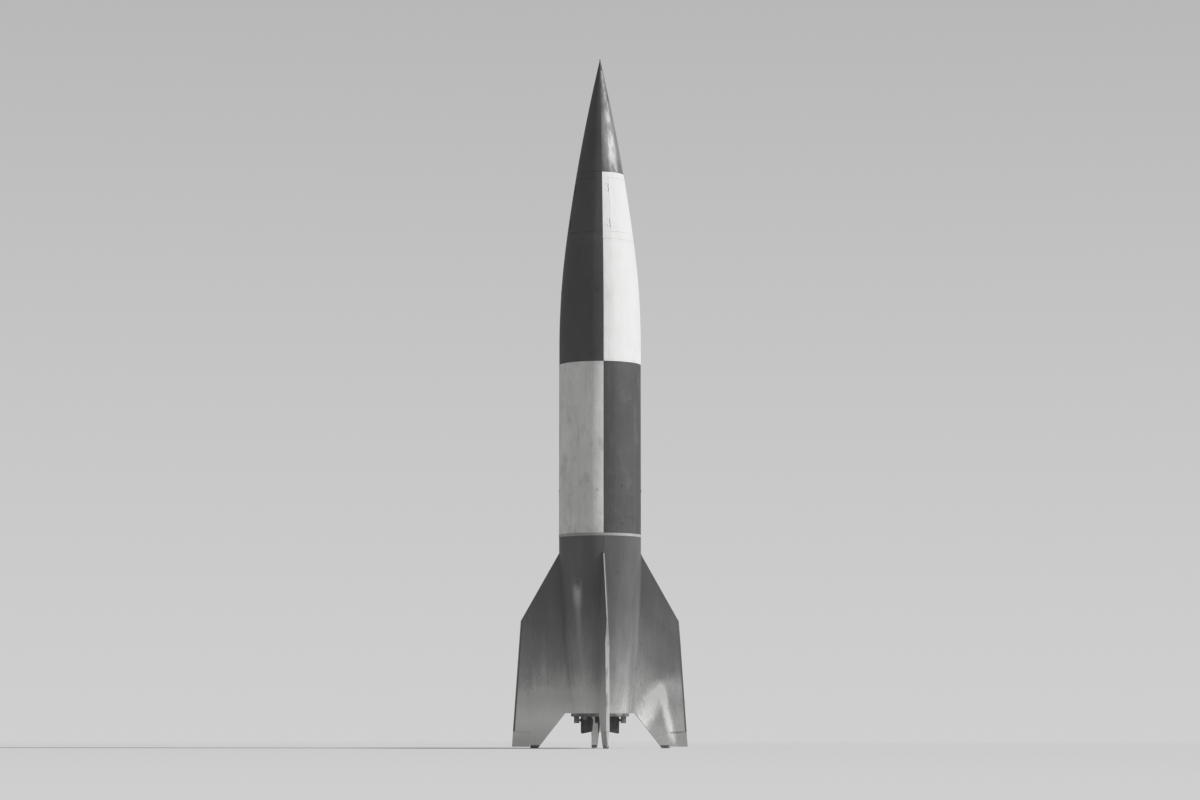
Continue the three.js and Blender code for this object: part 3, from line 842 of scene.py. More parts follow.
class NoseOperator(bpy.types.Operator):
    """Makes the nose cone and its tip"""

    bl_idname = "rocket.nose"
    bl_label = "Nose"

    def execute(self, context):
        self.tip()
        self.cone(context.scene.rocket_shape)
        return {"FINISHED"}

    def tip(self):
        """The point, with a round end."""
        end_radius, end_angle = 0.014, math.radians(13)
        centre = HEIGHT - end_radius
        ball = [
            (end_radius * math.cos(angle), centre + end_radius * math.sin(angle))
            for angle in levels(end_angle, QUARTER, 6)
        ]
        flank = skin_line(TIP_BASE, HEIGHT - end_radius * 2, 8)
        bm = spun([(0, TIP_BASE), *flank, *ball[:-1], (0, HEIGHT)])
        soften(bm, width=0.001, over=60)
        piece(bm, "nose_point", "nose_finish", ["nose_tip"])

    def cone(self, shape):
        """The cone, with screws along its foot."""
        screws, screw_height, screw_radius, joint = 24, 0.045, 0.011, 0.001
        start, end = BAY_TOP + shape.seam / 2, TIP_BASE - joint
        bm = spun([(0, start), *skin_line(start, end, 40), (0, end)])
        soften(bm, shape.edge, over=60)
        for angle in ring(screws):
            disc(bm, *on_skin(angle, BAY_TOP + screw_height), screw_radius, RIVET_HEIGHT)
        piece(bm, "nose_shell", "nose_finish", ["nose_cone"])


def hinge_line():
    """Middle of door 1's hinge line, and its directions: up, across the door and out."""

    def end(z):
        radius = skin_radius(z)
        return Vector((radius * math.cos(POST_HALF_ANGLE), radius * math.sin(POST_HALF_ANGLE), z))

    low, high = end(OPENING_LOW), end(OPENING_HIGH)
    up = (high - low).normalized()
    across = Vector((-math.sin(POST_HALF_ANGLE), math.cos(POST_HALF_ANGLE), 0))
    out = across.cross(up).normalized()
    return (low + high) / 2 + out * HINGE_LIFT, up, across, out


def add_hinge(bm, side, places):
    """Barrels on the hinge line, with leaves to one side of it."""
    centre, up, across, out = hinge_line()
    leaf_width, leaf_height, leaf_thick, leaf_gap, leaf_round = 0.055, 0.004, 0.010, 0.003, 0.0015
    screw_radius, screw_up, screw_across = 0.004, 0.018, 0.008
    half = up * (HINGE_LENGTH / 2)
    stand = Matrix((across, up, out)).transposed().to_4x4()
    size = Matrix.Diagonal((leaf_width, HINGE_LENGTH, leaf_thick, 1))
    for place in places:
        middle = centre + up * place
        rod(bm, middle - half, middle + half, HINGE_BARREL, sides=16)
        leaf = middle + across * (side * (leaf_width / 2 + leaf_gap))
        leaf -= out * (HINGE_LIFT - leaf_height + leaf_thick / 2)
        box = bmesh.ops.create_cube(bm, size=1, matrix=Matrix.Translation(leaf) @ stand @ size)
        edges = {e for v in box["verts"] for e in v.link_edges}
        rounded(bm, list(edges), leaf_round, segments=2)
        for row in (-screw_up, screw_up):
            spot = leaf + up * row + across * (side * screw_across) + out * (leaf_thick / 2)
            disc(bm, spot, out, screw_radius, RIVET_HEIGHT)


class BayOperator(bpy.types.Operator):
    """Makes the instrument bay's frame"""

    bl_idname = "rocket.bay"
    bl_label = "Instrument bay"

    def execute(self, context):
        shape = context.scene.rocket_shape
        play = 0.0004
        top_lip = skin_radius(OPENING_HIGH) - LIP_DEPTH - play
        floor_lip = skin_radius(OPENING_LOW + LIP) - LIP_DEPTH - play
        seam = shape.seam / 2
        top = [
            (0, OPENING_HIGH - LIP),
            (top_lip, OPENING_HIGH - LIP),
            (top_lip, OPENING_HIGH),
            *skin_line(OPENING_HIGH, BAY_TOP - seam, 4),
            (0, BAY_TOP - seam),
        ]
        floor = [
            (0, BAY_FLOOR + seam),
            *skin_line(BAY_FLOOR + seam, OPENING_LOW, 4),
            (floor_lip, OPENING_LOW),
            (floor_lip, OPENING_LOW + LIP),
            (0, OPENING_LOW + LIP),
        ]
        rims = (("bay_crown", top, "bay_top_bulkhead"), ("bay_sill", floor, "bay_floor_bulkhead"))
        for name, profile, node in rims:
            bm = spun(profile)
            soften(bm, shape.edge, over=40)
            piece(bm, name, "bay_finish", [node])
        for number in NUMBERS:
            self.post(number)
        return {"FINISHED"}

    def post(self, number):
        """A post between two doors: a flush face with hinge barrels, and wider flanges behind it."""
        play, lap, edge_round, flange_width = 0.0005, 0.001, 0.002, math.radians(3)
        head_radius, head_inset, head_angle, hinge_room = 0.0075, 0.04, 0.03, 0.11
        low, high = OPENING_LOW + play, OPENING_HIGH - play
        edge = POST_HALF_ANGLE - DOOR_GAP / 2 / BODY_RADIUS
        bm = spun(wall_profile(low, high, 8, LIP_DEPTH), 2 * edge, -edge)
        soften(bm, edge_round)
        flange_edge = edge + flange_width
        inner_low, inner_high = low + LIP, high - LIP
        profile = skin_line(inner_low, inner_high, 8, LIP_DEPTH - lap)
        profile += skin_line(inner_high, inner_low, 8, POST_DEPTH)
        flange = spun(profile, 2 * flange_edge, -flange_edge)
        soften(flange, edge_round)
        join(bm, flange)
        step = HINGE_LENGTH + HINGE_PLAY
        places = [-HINGE_REACH - step, -HINGE_REACH + step, HINGE_REACH - step, HINGE_REACH + step]
        add_hinge(bm, -1, places)
        for z in levels(low + head_inset, high - head_inset, 12):
            clear = abs(abs(z - (low + high) / 2) - HINGE_REACH) > hinge_room
            for angle in (-edge + head_angle, edge - head_angle):
                if clear or angle < 0:
                    disc(bm, *on_skin(angle, z), head_radius, RIVET_HEIGHT)
        numbered(bm, "bay_pillar", "bay_finish", number, "bay_post")


class DoorsOperator(bpy.types.Operator):
    """Makes the four hinged doors of the instrument bay"""

    bl_idname = "rocket.doors"
    bl_label = "Doors"

    # Faces of a door up and round, which its pockets follow
    bands = 12
    columns = 24

    def execute(self, context):
        low, high = OPENING_LOW + DOOR_GAP, OPENING_HIGH - DOOR_GAP
        edge = POST_HALF_ANGLE + DOOR_GAP / 2 / BODY_RADIUS
        profile = wall_profile(low, high, self.bands, DOOR_THICKNESS)
        for number in NUMBERS:
            bm = spun(profile, QUARTER - 2 * edge, edge, self.columns)
            self.hollow(bm)
            soften(bm, width=0.002)
            add_hinge(bm, 1, [-HINGE_REACH, HINGE_REACH])
            self.fasteners(bm, low, high, edge)
            finish, slot = paint_of(number, "black", "white")
            numbered(bm, "bay_hatch", finish, number, "bay_door", f"door_{number}")
        return {"FINISHED"}

    def hollow(self, bm):
        """Presses pockets into the door's inside, which leaves a frame and two ribs."""
        pockets, rim, slope, sheet = 3, 2, 0.02, 0.006
        middle = away(QUARTER / 2)
        inner = [f for f in bm.faces if f.normal.dot(middle) < -0.5]
        low, high = min(v.co.z for v in bm.verts), max(v.co.z for v in bm.verts)
        tall = (high - low) / self.bands
        wide = (QUARTER - 2 * POST_HALF_ANGLE) / self.columns
        share = self.bands // pockets
        for pocket in range(pockets):
            chosen = []
            for face in inner:
                centre = face.calc_center_median()
                cell, band = divmod(int((centre.z - low) / tall), share)
                column = int((math.atan2(centre.y, centre.x) - POST_HALF_ANGLE) / wide)
                if cell == pocket and 0 < band < share - 1 and rim <= column < self.columns - rim:
                    chosen.append(face)
            bmesh.ops.inset_region(bm, faces=chosen, thickness=slope, use_even_offset=True)
            for vert in {v for f in chosen for v in f.verts}:
                out = Vector((vert.co.x, vert.co.y, 0)).normalized()
                vert.co += out * (DOOR_THICKNESS - sheet)

    def fasteners(self, bm, low, high, edge):
        """Screws along the door's ends and along the side away from its hinge."""
        head_radius, head_height = 0.010, 0.0025
        inset, end_angle, side_angle, side_end = 0.03, 0.06, 0.045, 0.12
        spots = []
        for z in (low + inset, high - inset):
            spots += [(angle, z) for angle in levels(edge + end_angle, QUARTER - edge - end_angle, 7)]
        spots += [(QUARTER - edge - side_angle, z) for z in levels(low + side_end, high - side_end, 8)]
        for angle, z in spots:
            disc(bm, *on_skin(angle, z), head_radius, head_height)


class SkinsOperator(bpy.types.Operator):
    """Makes the skin of the centre section and the band at its foot"""

    bl_idname = "rocket.skins"
    bl_label = "Centre skins"

    # Section, foot, top, faces up, and the paint of quadrants 1 and 3 and of 2 and 4
    sections = (
        ("upper", PAINT_BREAK, BAY_FLOOR, 24, "black", "white"),
        ("lower", BAND_TOP, PAINT_BREAK, 8, "white", "black"),
    )

    def execute(self, context):
        shape = context.scene.rocket_shape
        seam = shape.seam / 2
        gap = seam / BODY_RADIUS
        for section, start, end, bands, odd, even in self.sections:
            profile = wall_profile(start + seam, end - seam, bands, WALL)
            for number in NUMBERS:
                bm = spun(profile, QUARTER - 2 * gap, gap)
                soften(bm, shape.edge)
                self.rivets(bm, start, end, gap, shape.pitch)
                finish, slot = paint_of(number, odd, even)
                numbered(bm, f"{section}_panel", finish, number, f"{section}_skin")
        self.band()
        return {"FINISHED"}

    def rivets(self, bm, start, end, gap, pitch):
        """A row along each edge of a sheet, with angles in radians and heights in metres."""
        inset, side_angle, end_angle = 0.03, 0.03, 0.06
        for z in levels(start + inset, end - inset, round((end - start) / pitch)):
            for angle in (gap + side_angle, QUARTER - gap - side_angle):
                rivet(bm, *on_skin(angle, z))
        around = round(BODY_RADIUS * QUARTER / pitch)
        for angle in levels(gap + end_angle, QUARTER - gap - end_angle, around):
            for z in (start + inset, end - inset):
                rivet(bm, *on_skin(angle, z))

    def band(self):
        """The ring over the joint with the tail, with a row of bolts."""
        proud, depth, bolts, bolt_radius, bolt_height = 0.003, 0.04, 48, 0.010, 0.003
        inner, outer = BODY_RADIUS - depth, BODY_RADIUS + proud
        bm = spun([(inner, TAIL_JOINT), (outer, TAIL_JOINT), (outer, BAND_TOP), (inner, BAND_TOP)])
        soften(bm, width=0.002)
        for angle in ring(bolts):
            out = away(angle)
            spot = out * outer + UP * ((TAIL_JOINT + BAND_TOP) / 2)
            bolt(bm, spot, out, bolt_radius, bolt_height)
        piece(bm, "joint_ring", "worn_band", ["tail_joint_band"])


class TailOperator(bpy.types.Operator):
    """Makes the boat-tail, its rim and the oxygen vent"""

    bl_idname = "rocket.tail"
    bl_label = "Tail"

    # Heights of the frames under the skin
    frames = (1.35, 2.05, 2.75, 3.45)

    def execute(self, context):
        shape = context.scene.rocket_shape
        seam = shape.seam / 2
        gap = seam / BODY_RADIUS
        profile = wall_profile(RING_TOP + seam, TAIL_JOINT - seam, 40, WALL)
        for number in NUMBERS:
            bm = spun(profile, QUARTER - 2 * gap, gap)
            soften(bm, shape.edge)
            self.rivets(bm, shape.pitch)
            numbered(bm, "tail_panel", "worn_tail", number, "tail_skin")
        self.rim(seam)
        self.vent()
        return {"FINISHED"}

    def rivets(self, bm, pitch):
        """A row along each end of a sheet and one over each frame."""
        inset, side_angle = 0.03, 0.14
        around = round(BODY_RADIUS * QUARTER / pitch)
        for z in (RING_TOP + inset, *self.frames, TAIL_JOINT - inset):
            for angle in levels(side_angle, QUARTER - side_angle, around):
                rivet(bm, *on_skin(angle, z))

    def rim(self, seam):
        """The ring at the tail's end, with a row of bolts."""
        depth, edge_round, bolts, bolt_radius, bolt_height = 0.05, 0.008, 32, 0.009, 0.004
        bm = spun(wall_profile(TAIL_END, RING_TOP - seam, 3, depth))
        soften(bm, edge_round, segments=3)
        for angle in ring(bolts):
            bolt(bm, *on_skin(angle, (TAIL_END + RING_TOP) / 2), bolt_radius, bolt_height)
        piece(bm, "tail_rim", "hot_steel", ["tail_ring"])

    def vent(self):
        """A blister whose mouth faces down."""
        half_depth, half_width, half_height = 0.042, 0.046, 0.105
        mouth, wall, deep = 0.078, 0.006, 0.05
        bm = bmesh.new()
        bmesh.ops.create_uvsphere(bm, u_segments=32, v_segments=24, radius=1)
        bmesh.ops.scale(bm, verts=bm.verts, vec=(half_depth, half_width, half_height))
        carve(bm, (0, 0, -mouth), (0, 0, -1))
        floor = [f for f in bm.faces if f.normal.z < -0.99 and len(f.verts) > 8]
        bmesh.ops.inset_region(bm, faces=floor, thickness=wall)
        thicken(bm, floor, (0, 0, deep))
        bmesh.ops.delete(bm, geom=[f for f in floor if f.is_valid], context="FACES")
        bmesh.ops.translate(bm, verts=bm.verts, vec=(skin_radius(VENT_HEIGHT), 0, VENT_HEIGHT))
        turn(bm, VENT_ANGLE)
        piece(bm, "vent_blister", "worn_tail", ["oxygen_vent"])


class HatchesOperator(bpy.types.Operator):
    """Makes the flat access plates and the small caps on the skins"""

    bl_idname = "rocket.hatches"
    bl_label = "Hatches"

    # Section, and the paint of quadrants 1 and 3 and of 2 and 4
    sections = (
        ("tail", "tail", "tail"),
        ("lower", "white", "black"),
        ("upper", "black", "white"),
    )
    # Section, angle in degrees, height, width and tallness
    plates = (
        ("tail", 45, 3.84, 0.44, 0.2),
        ("tail", 66, 2.4, 0.26, 0.34),
        ("tail", 28, 1.02, 0.24, 0.3),
        ("lower", 45, 4.72, 0.36, 0.26),
        ("lower", 64, 7.42, 0.26, 0.2),
        ("upper", 40, 9.93, 0.3, 0.2),
        ("upper", 62, 8.1, 0.22, 0.28),
    )
    # Section, angle in degrees, height and radius
    caps = (
        ("lower", 28, 5.23, 0.026),
        ("lower", 28, 4.47, 0.026),
        ("lower", 84, 5.16, 0.03),
        ("upper", 84, 9.2, 0.04),
        ("tail", 20, 3.5, 0.03),
    )

    def execute(self, context):
        for section, odd, even in self.sections:
            for number in NUMBERS:
                bm = bmesh.new()
                for row in self.of(self.plates, section):
                    self.plate(bm, *row)
                for row in self.of(self.caps, section):
                    self.cap(bm, *row)
                finish, slot = paint_of(number, odd, even)
                numbered(bm, f"{section}_hatches", finish, number)
        return {"FINISHED"}

    def of(self, table, section):
        """A section's rows of a table, without the section's name."""
        return [row[1:] for row in table if row[0] == section]

    def plate(self, bm, degrees, height, width, tall):
        """A thin plate with round corners, laid on the skin and held by screws."""
        thick, corner, edge_round, inset, pitch = 0.0025, 0.022, 0.001, 0.016, 0.05
        screw_radius, screw_height = 0.0055, 0.0015
        angle = math.radians(degrees)
        flat = bmesh.new()
        bmesh.ops.create_grid(flat, x_segments=8, y_segments=4, size=0.5)
        bmesh.ops.scale(flat, verts=flat.verts, vec=(width, tall, 1))
        corners = [v for v in flat.verts if len(v.link_edges) == 2]
        rounded(flat, corners, corner, segments=4, affect="VERTICES")
        thicken(flat, flat.faces[:], (0, 0, thick))
        bmesh.ops.recalc_face_normals(flat, faces=flat.faces)
        soften(flat, edge_round, segments=1, over=60)
        join(bm, wrapped(flat, angle, height))
        across, up = width / 2 - inset, tall / 2 - inset
        rows = [(x, y) for x in levels(-across, across, round(2 * across / pitch)) for y in (-up, up)]
        rows += [(x, y) for y in levels(-up, up, round(2 * up / pitch))[1:-1] for x in (-across, across)]
        for x, y in rows:
            spot, out = on_skin(angle + x / skin_radius(height), height + y, thick)
            disc(bm, spot, out, screw_radius, screw_height, HEAD_SIDES)

    def cap(self, bm, degrees, height, radius):
        """A low round cap with a raised rim and a bolt in its middle."""
        tall, sunk, rim, edge_round, bolt_radius, bolt_height = 0.006, 0.4, 0.25, 0.001, 0.006, 0.003
        angle = math.radians(degrees)
        flat = bmesh.new()
        bmesh.ops.create_circle(flat, cap_ends=True, segments=32, radius=radius)
        thicken(flat, flat.faces[:], (0, 0, tall))
        bmesh.ops.recalc_face_normals(flat, faces=flat.faces)
        top = [f for f in flat.faces if f.normal.z > 0.9]
        bmesh.ops.inset_region(flat, faces=top, thickness=radius * rim, depth=-tall * sunk)
        soften(flat, edge_round, over=50)
        join(bm, wrapped(flat, angle, height))
        bolt(bm, *on_skin(angle, height, tall * (1 - sunk)), bolt_radius, bolt_height)


class FinsOperator(bpy.types.Operator):
    """Makes the fins, with their edge strips, root beads and feet"""

    bl_idname = "rocket.fins"
    bl_label = "Fins"

    def execute(self, context):
        pitch = context.scene.rocket_shape.pitch
        for number in NUMBERS:
            self.blade(number, pitch)
            self.edge_strips(number)
            self.root_beads(number)
            self.foot(number)
        return {"FINISHED"}

    def outline(self):
        """The fin's outline, with a notch for the air vane."""
        notch_radius, notch_top = VANE_NOTCH
        return [
            (FIN_ROOT_TOP_RADIUS, FIN_ROOT_TOP),
            (FIN_ROOT_BOTTOM, FIN_CROTCH[1]),
            FIN_CROTCH,
            FIN_HEEL,
            (notch_radius, FIN_HEEL[1]),
            (notch_radius, notch_top),
            (fin_edge_radius(notch_top), notch_top),
            FIN_SHOULDER,
            leading_edge()[0],
        ]

    def shaped(self, outline, grow=0.0):
        """A plate with the fin's flanks and its bevelled leading edge."""
        uncut_half = 0.2
        bm = slab(outline, uncut_half)
        run = leading_edge()[1]
        for side in (1, -1):
            carve(bm, (FIN_TIP[0], side * (FIN_EDGE_HALF + grow), 0), (FIN_SWELL, side, 0))
            slant = (run.y * FIN_NOSE_BEVEL, side, -run.x * FIN_NOSE_BEVEL)
            carve(bm, (FIN_SHOULDER[0], side * (FIN_NOSE_HALF + grow), FIN_SHOULDER[1]), slant)
        return bm

    def blade(self, number, pitch):
        """The fin itself, with its rows of rivets."""
        bm = self.shaped(self.outline())
        self.socket(bm)
        soften(bm, FIN_ROUND, segments=3, over=20)
        for start, end in self.rivet_rows():
            self.rivet_row(bm, Vector(start), Vector(end), pitch)
        numbered(bm, "fin_blade", "worn_tail", number, "fin")

    def socket(self, bm):
        """Hollows the fin's edge over the vane to a round trough, in which the vane's nose turns."""
        merge, near, edge_near = 1e-5, 1e-4, 1e-3
        notch_radius, notch_top = VANE_NOTCH
        deep = notch_top - AIR_VANE_AXIS
        reach = math.sqrt(VANE_SOCKET**2 - deep**2)
        for y in [reach * math.sin(a) for a in levels(-QUARTER, QUARTER, 12)]:
            geom = bm.verts[:] + bm.edges[:] + bm.faces[:]
            bmesh.ops.bisect_plane(bm, geom=geom, plane_co=(0, y, 0), plane_no=(0, 1, 0), dist=merge)
        for vert in bm.verts:
            radius, y, z = vert.co
            if abs(z - notch_top) > near or radius < notch_radius - near or abs(y) > VANE_SOCKET:
                continue
            rise = math.sqrt(VANE_SOCKET**2 - y**2) - deep
            if rise > 0:
                vert.co.z += rise
                if radius > fin_edge_radius(z) - edge_near:
                    vert.co.x -= rise * FIN_LEAN

    def rivet_rows(self):
        """Ends of the rows along the ribs, the edges and the spar, as (radius, height) pairs."""
        root_inset, edge_inset, edge_low, edge_high, top_rib = 0.07, 0.05, 0.42, 2.5, 3.1
        ribs = [
            ((skin_radius(z) + root_inset, z), (fin_edge_radius(z) - edge_inset, z))
            for z in (0.8, 1.35, 1.95, 2.54)
        ]
        ribs.append(((skin_radius(top_rib) + root_inset, top_rib), (1.21, top_rib)))
        outer = [(fin_edge_radius(z) - edge_inset, z) for z in (edge_low, edge_high)]
        leading = ((FIN_SHOULDER[0] - 0.07, FIN_SHOULDER[1] - 0.02), (0.86, 3.76))
        lower = ((FIN_CROTCH[0] + 0.03, 0.76), (1.235, 0.11))
        spar = ((1.19, 0.14), (1.19, 2.5))
        return [*ribs, outer, leading, lower, spar]

    def rivet_row(self, bm, start, end, pitch):
        """The same row on both flanks, between two points."""
        out_of = {side: Vector((FIN_SWELL, side, 0)).normalized() for side in (1, -1)}
        for share in levels(0.0, 1.0, max(1, round((end - start).length / pitch))):
            radius, z = start.lerp(end, share)
            for side, out in out_of.items():
                rivet(bm, Vector((radius, side * fin_half(radius, z), z)), out)

    def edge_strips(self, number):
        """Thin strips folded over the fin's outer and leading edges."""
        vane_gap, deep, proud, slimmer, short = 0.002, 0.034, 0.0015, 0.6, 0.06
        low = VANE_NOTCH[1] + vane_gap
        low_radius = fin_edge_radius(low)
        shoulder = Vector(FIN_SHOULDER)
        root, run = leading_edge()
        inward = Vector((-run.y, run.x))
        outer = [
            (low_radius + proud, low),
            (shoulder.x + proud, shoulder.y),
            (shoulder.x - deep, shoulder.y),
            (low_radius - deep, low),
        ]
        top = root.lerp(shoulder, short)
        slim = inward * deep * slimmer
        leading = [shoulder - inward * proud, top - inward * proud, top + slim, shoulder + slim]
        for name, outline in (("outer", outer), ("leading", leading)):
            bm = self.shaped(outline, proud)
            soften(bm, FIN_ROUND, segments=3, over=20)
            numbered(bm, f"fin_{name}_edge", "worn_edge", number)

    def root_beads(self, number):
        """A bead along each corner between the fin and the body."""
        bead_radius, low_gap, top_gap = 0.016, 0.01, 0.05
        heights = levels(FIN_CROTCH[1] + low_gap, FIN_ROOT_TOP - top_gap, 40)
        for side, word in ((1, "left"), (-1, "right")):
            curve = bpy.data.curves.new(f"root_{word}_{number}", "CURVE")
            curve.dimensions = "3D"
            curve.bevel_depth = bead_radius
            curve.bevel_resolution = 3
            curve.use_fill_caps = True
            line = curve.splines.new("POLY")
            line.points.add(len(heights) - 1)
            for point, z in zip(line.points, heights):
                radius = skin_radius(z)
                half = fin_half(radius, z)
                point.co = (math.sqrt(radius**2 - half**2), side * half, z, 1)
            holder = bpy.data.objects.new("holder", curve)
            mesh = bpy.data.meshes.new_from_object(holder)
            bpy.data.objects.remove(holder)
            bm = bmesh.new()
            bm.from_mesh(mesh)
            bpy.data.meshes.remove(mesh)
            clean(bm)
            numbered(bm, f"root_bead_{word}", "worn_tail", number)

    def foot(self, number):
        """The shoe that the rocket stands on, with bolts on both sides."""
        toe, bolt_places, bolt_height, bolt_radius, bolt_head = 1.25, (1.3, 1.36), 0.6, 0.009, 0.006
        low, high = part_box("fin_foot_1")
        bm = slab([(toe, 0), (high.x, 0), (high.x, high.z), (low.x, high.z)], high.y)
        soften(bm, width=0.006, segments=3)
        for radius in bolt_places:
            for side in (1, -1):
                spot = Vector((radius, side * high.y, high.z * bolt_height))
                bolt(bm, spot, Vector((0, side, 0)), bolt_radius, bolt_head)
        numbered(bm, "foot_shoe", "hot_steel", number, "fin_foot")


class VanesOperator(bpy.types.Operator):
    """Makes the air vanes, the jet vanes and their brackets"""

    bl_idname = "rocket.vanes"
    bl_label = "Vanes"

    def execute(self, context):
        for number in NUMBERS:
            self.air_vane(number)
            self.jet_vane(number)
            self.bracket(number)
        return {"FINISHED"}

    def shaft(self, bm, start, end, height, radius, sides=24):
        """A round bar along the fin's radius."""
        rod(bm, (start, 0, height), (end, 0, height), radius, sides)

    def air_vane(self, number):
        """A vane with a round nose, and the shaft into its fin."""
        shaft_start, shaft_lap = 1.3, 0.02
        bm = bmesh.new()
        start = bm.verts.new((AIR_VANE_INNER, AIR_VANE_NOSE, AIR_VANE_AXIS))
        centre = (AIR_VANE_INNER, 0, AIR_VANE_AXIS)
        bmesh.ops.spin(bm, geom=[start], cent=centre, axis=(1, 0, 0), angle=math.pi, steps=14)
        bmesh.ops.remove_doubles(bm, verts=bm.verts, dist=MERGE)
        arc = sorted(bm.verts, key=lambda v: -v.co.y)
        trail = [bm.verts.new((AIR_VANE_INNER, side * AIR_VANE_TRAIL, AIR_VANE_BOTTOM)) for side in (-1, 1)]
        face = bm.faces.new([*arc, *trail])
        thicken(bm, [face], (FIN_TIP[0] + AIR_VANE_NOSE - AIR_VANE_INNER, 0, 0))
        bmesh.ops.recalc_face_normals(bm, faces=bm.faces)
        carve(bm, (FIN_TIP[0], 0, FIN_TIP[1]), (1, 0, FIN_LEAN))
        soften(bm, width=0.003, segments=3, over=40)
        self.shaft(bm, shaft_start, AIR_VANE_INNER + shaft_lap, AIR_VANE_AXIS, AIR_VANE_SHAFT)
        numbered(bm, "air_rudder", "worn_tail", number, "air_vane", f"air_vane_{number}")

    def jet_vane(self, number):
        """A graphite blade with thin edges, its shaft and the collar round the shaft."""
        top_inset, tip_inset, corner = 0.045, 0.02, 0.035
        shaft_lap, shaft_end, collar_lap, collar_reach = 0.04, 0.47, 0.014, 0.012
        outline = [
            (JET_VANE_INNER + top_inset, JET_VANE_TOP),
            (JET_VANE_OUTER, JET_VANE_TOP),
            (JET_VANE_OUTER, JET_VANE_BOTTOM),
            (JET_VANE_INNER + tip_inset, JET_VANE_TIP_BOTTOM),
            (JET_VANE_INNER, JET_VANE_AXIS),
        ]
        bm = slab(outline, JET_VANE_HALF)
        corners = [e for e in bm.edges if abs(e.verts[0].co.y - e.verts[1].co.y) > JET_VANE_HALF]
        rounded(bm, corners, corner, segments=6)
        for side in (1, -1):
            for end in (JET_VANE_BOTTOM, JET_VANE_TOP):
                slant = -(JET_VANE_HALF - JET_VANE_EDGE) / (JET_VANE_AXIS - end)
                carve(bm, (0, side * JET_VANE_EDGE, end), (0, side, slant))
        soften(bm, width=0.0025, segments=3, over=25)
        self.shaft(bm, JET_VANE_OUTER - shaft_lap, shaft_end, JET_VANE_AXIS, JET_VANE_SHAFT)
        collar_start, collar_end = JET_VANE_OUTER - collar_lap, JET_VANE_OUTER + collar_reach
        self.shaft(bm, collar_start, collar_end, JET_VANE_AXIS, JET_VANE_COLLAR, sides=32)
        numbered(bm, "jet_rudder", "vane_graphite", number, "jet_vane", f"jet_vane_{number}")

    def bracket(self, number):
        """A block with a round bore along the fin's radius."""
        bore, blank, sides = 0.0225, 0.12, 32
        bolt_side, bolt_low, bolt_high, bolt_radius, bolt_height = 0.042, 0.02, 0.022, 0.008, 0.005
        low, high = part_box("vane_bracket_1")
        bm = bmesh.new()
        stand = Matrix.Translation((low.x, 0, JET_VANE_AXIS)) @ Matrix.Rotation(QUARTER, 4, "Y")
        bmesh.ops.create_circle(bm, segments=sides, radius=bore, matrix=stand)
        outer = bmesh.ops.create_circle(bm, segments=sides, radius=blank, matrix=stand)["verts"]
        for vert in outer:
            vert.co.y = max(low.y, min(high.y, vert.co.y))
            vert.co.z = max(low.z, min(high.z, vert.co.z))
        faces = bmesh.ops.bridge_loops(bm, edges=bm.edges[:])["faces"]
        thicken(bm, faces, (high.x - low.x, 0, 0))
        bmesh.ops.recalc_face_normals(bm, faces=bm.faces)
        soften(bm, width=0.004, over=40)
        for z in (low.z + bolt_low, high.z - bolt_high):
            for y in (-bolt_side, bolt_side):
                bolt(bm, Vector((low.x, y, z)), Vector((-1, 0, 0)), bolt_radius, bolt_height)
        numbered(bm, "vane_block", "hot_steel", number, "vane_bracket")


def eased(points, count):
    """A smooth line through (radius, height) points."""
    padded = [points[0], *points, points[-1]]
    line = []
    for before, start, end, after in zip(padded, padded[1:], padded[2:], padded[3:]):
        a, b, c, d = (Vector(point) for point in (before, start, end, after))
        slope = c - a
        bend = 2 * a - 5 * b + 4 * c - d
        twist = 3 * b - a - 3 * c + d
        for t in levels(0.0, 1.0, count)[:-1]:
            line.append(tuple(0.5 * (2 * b + slope * t + bend * t**2 + twist * t**3)))
    return [*line, tuple(points[-1])]


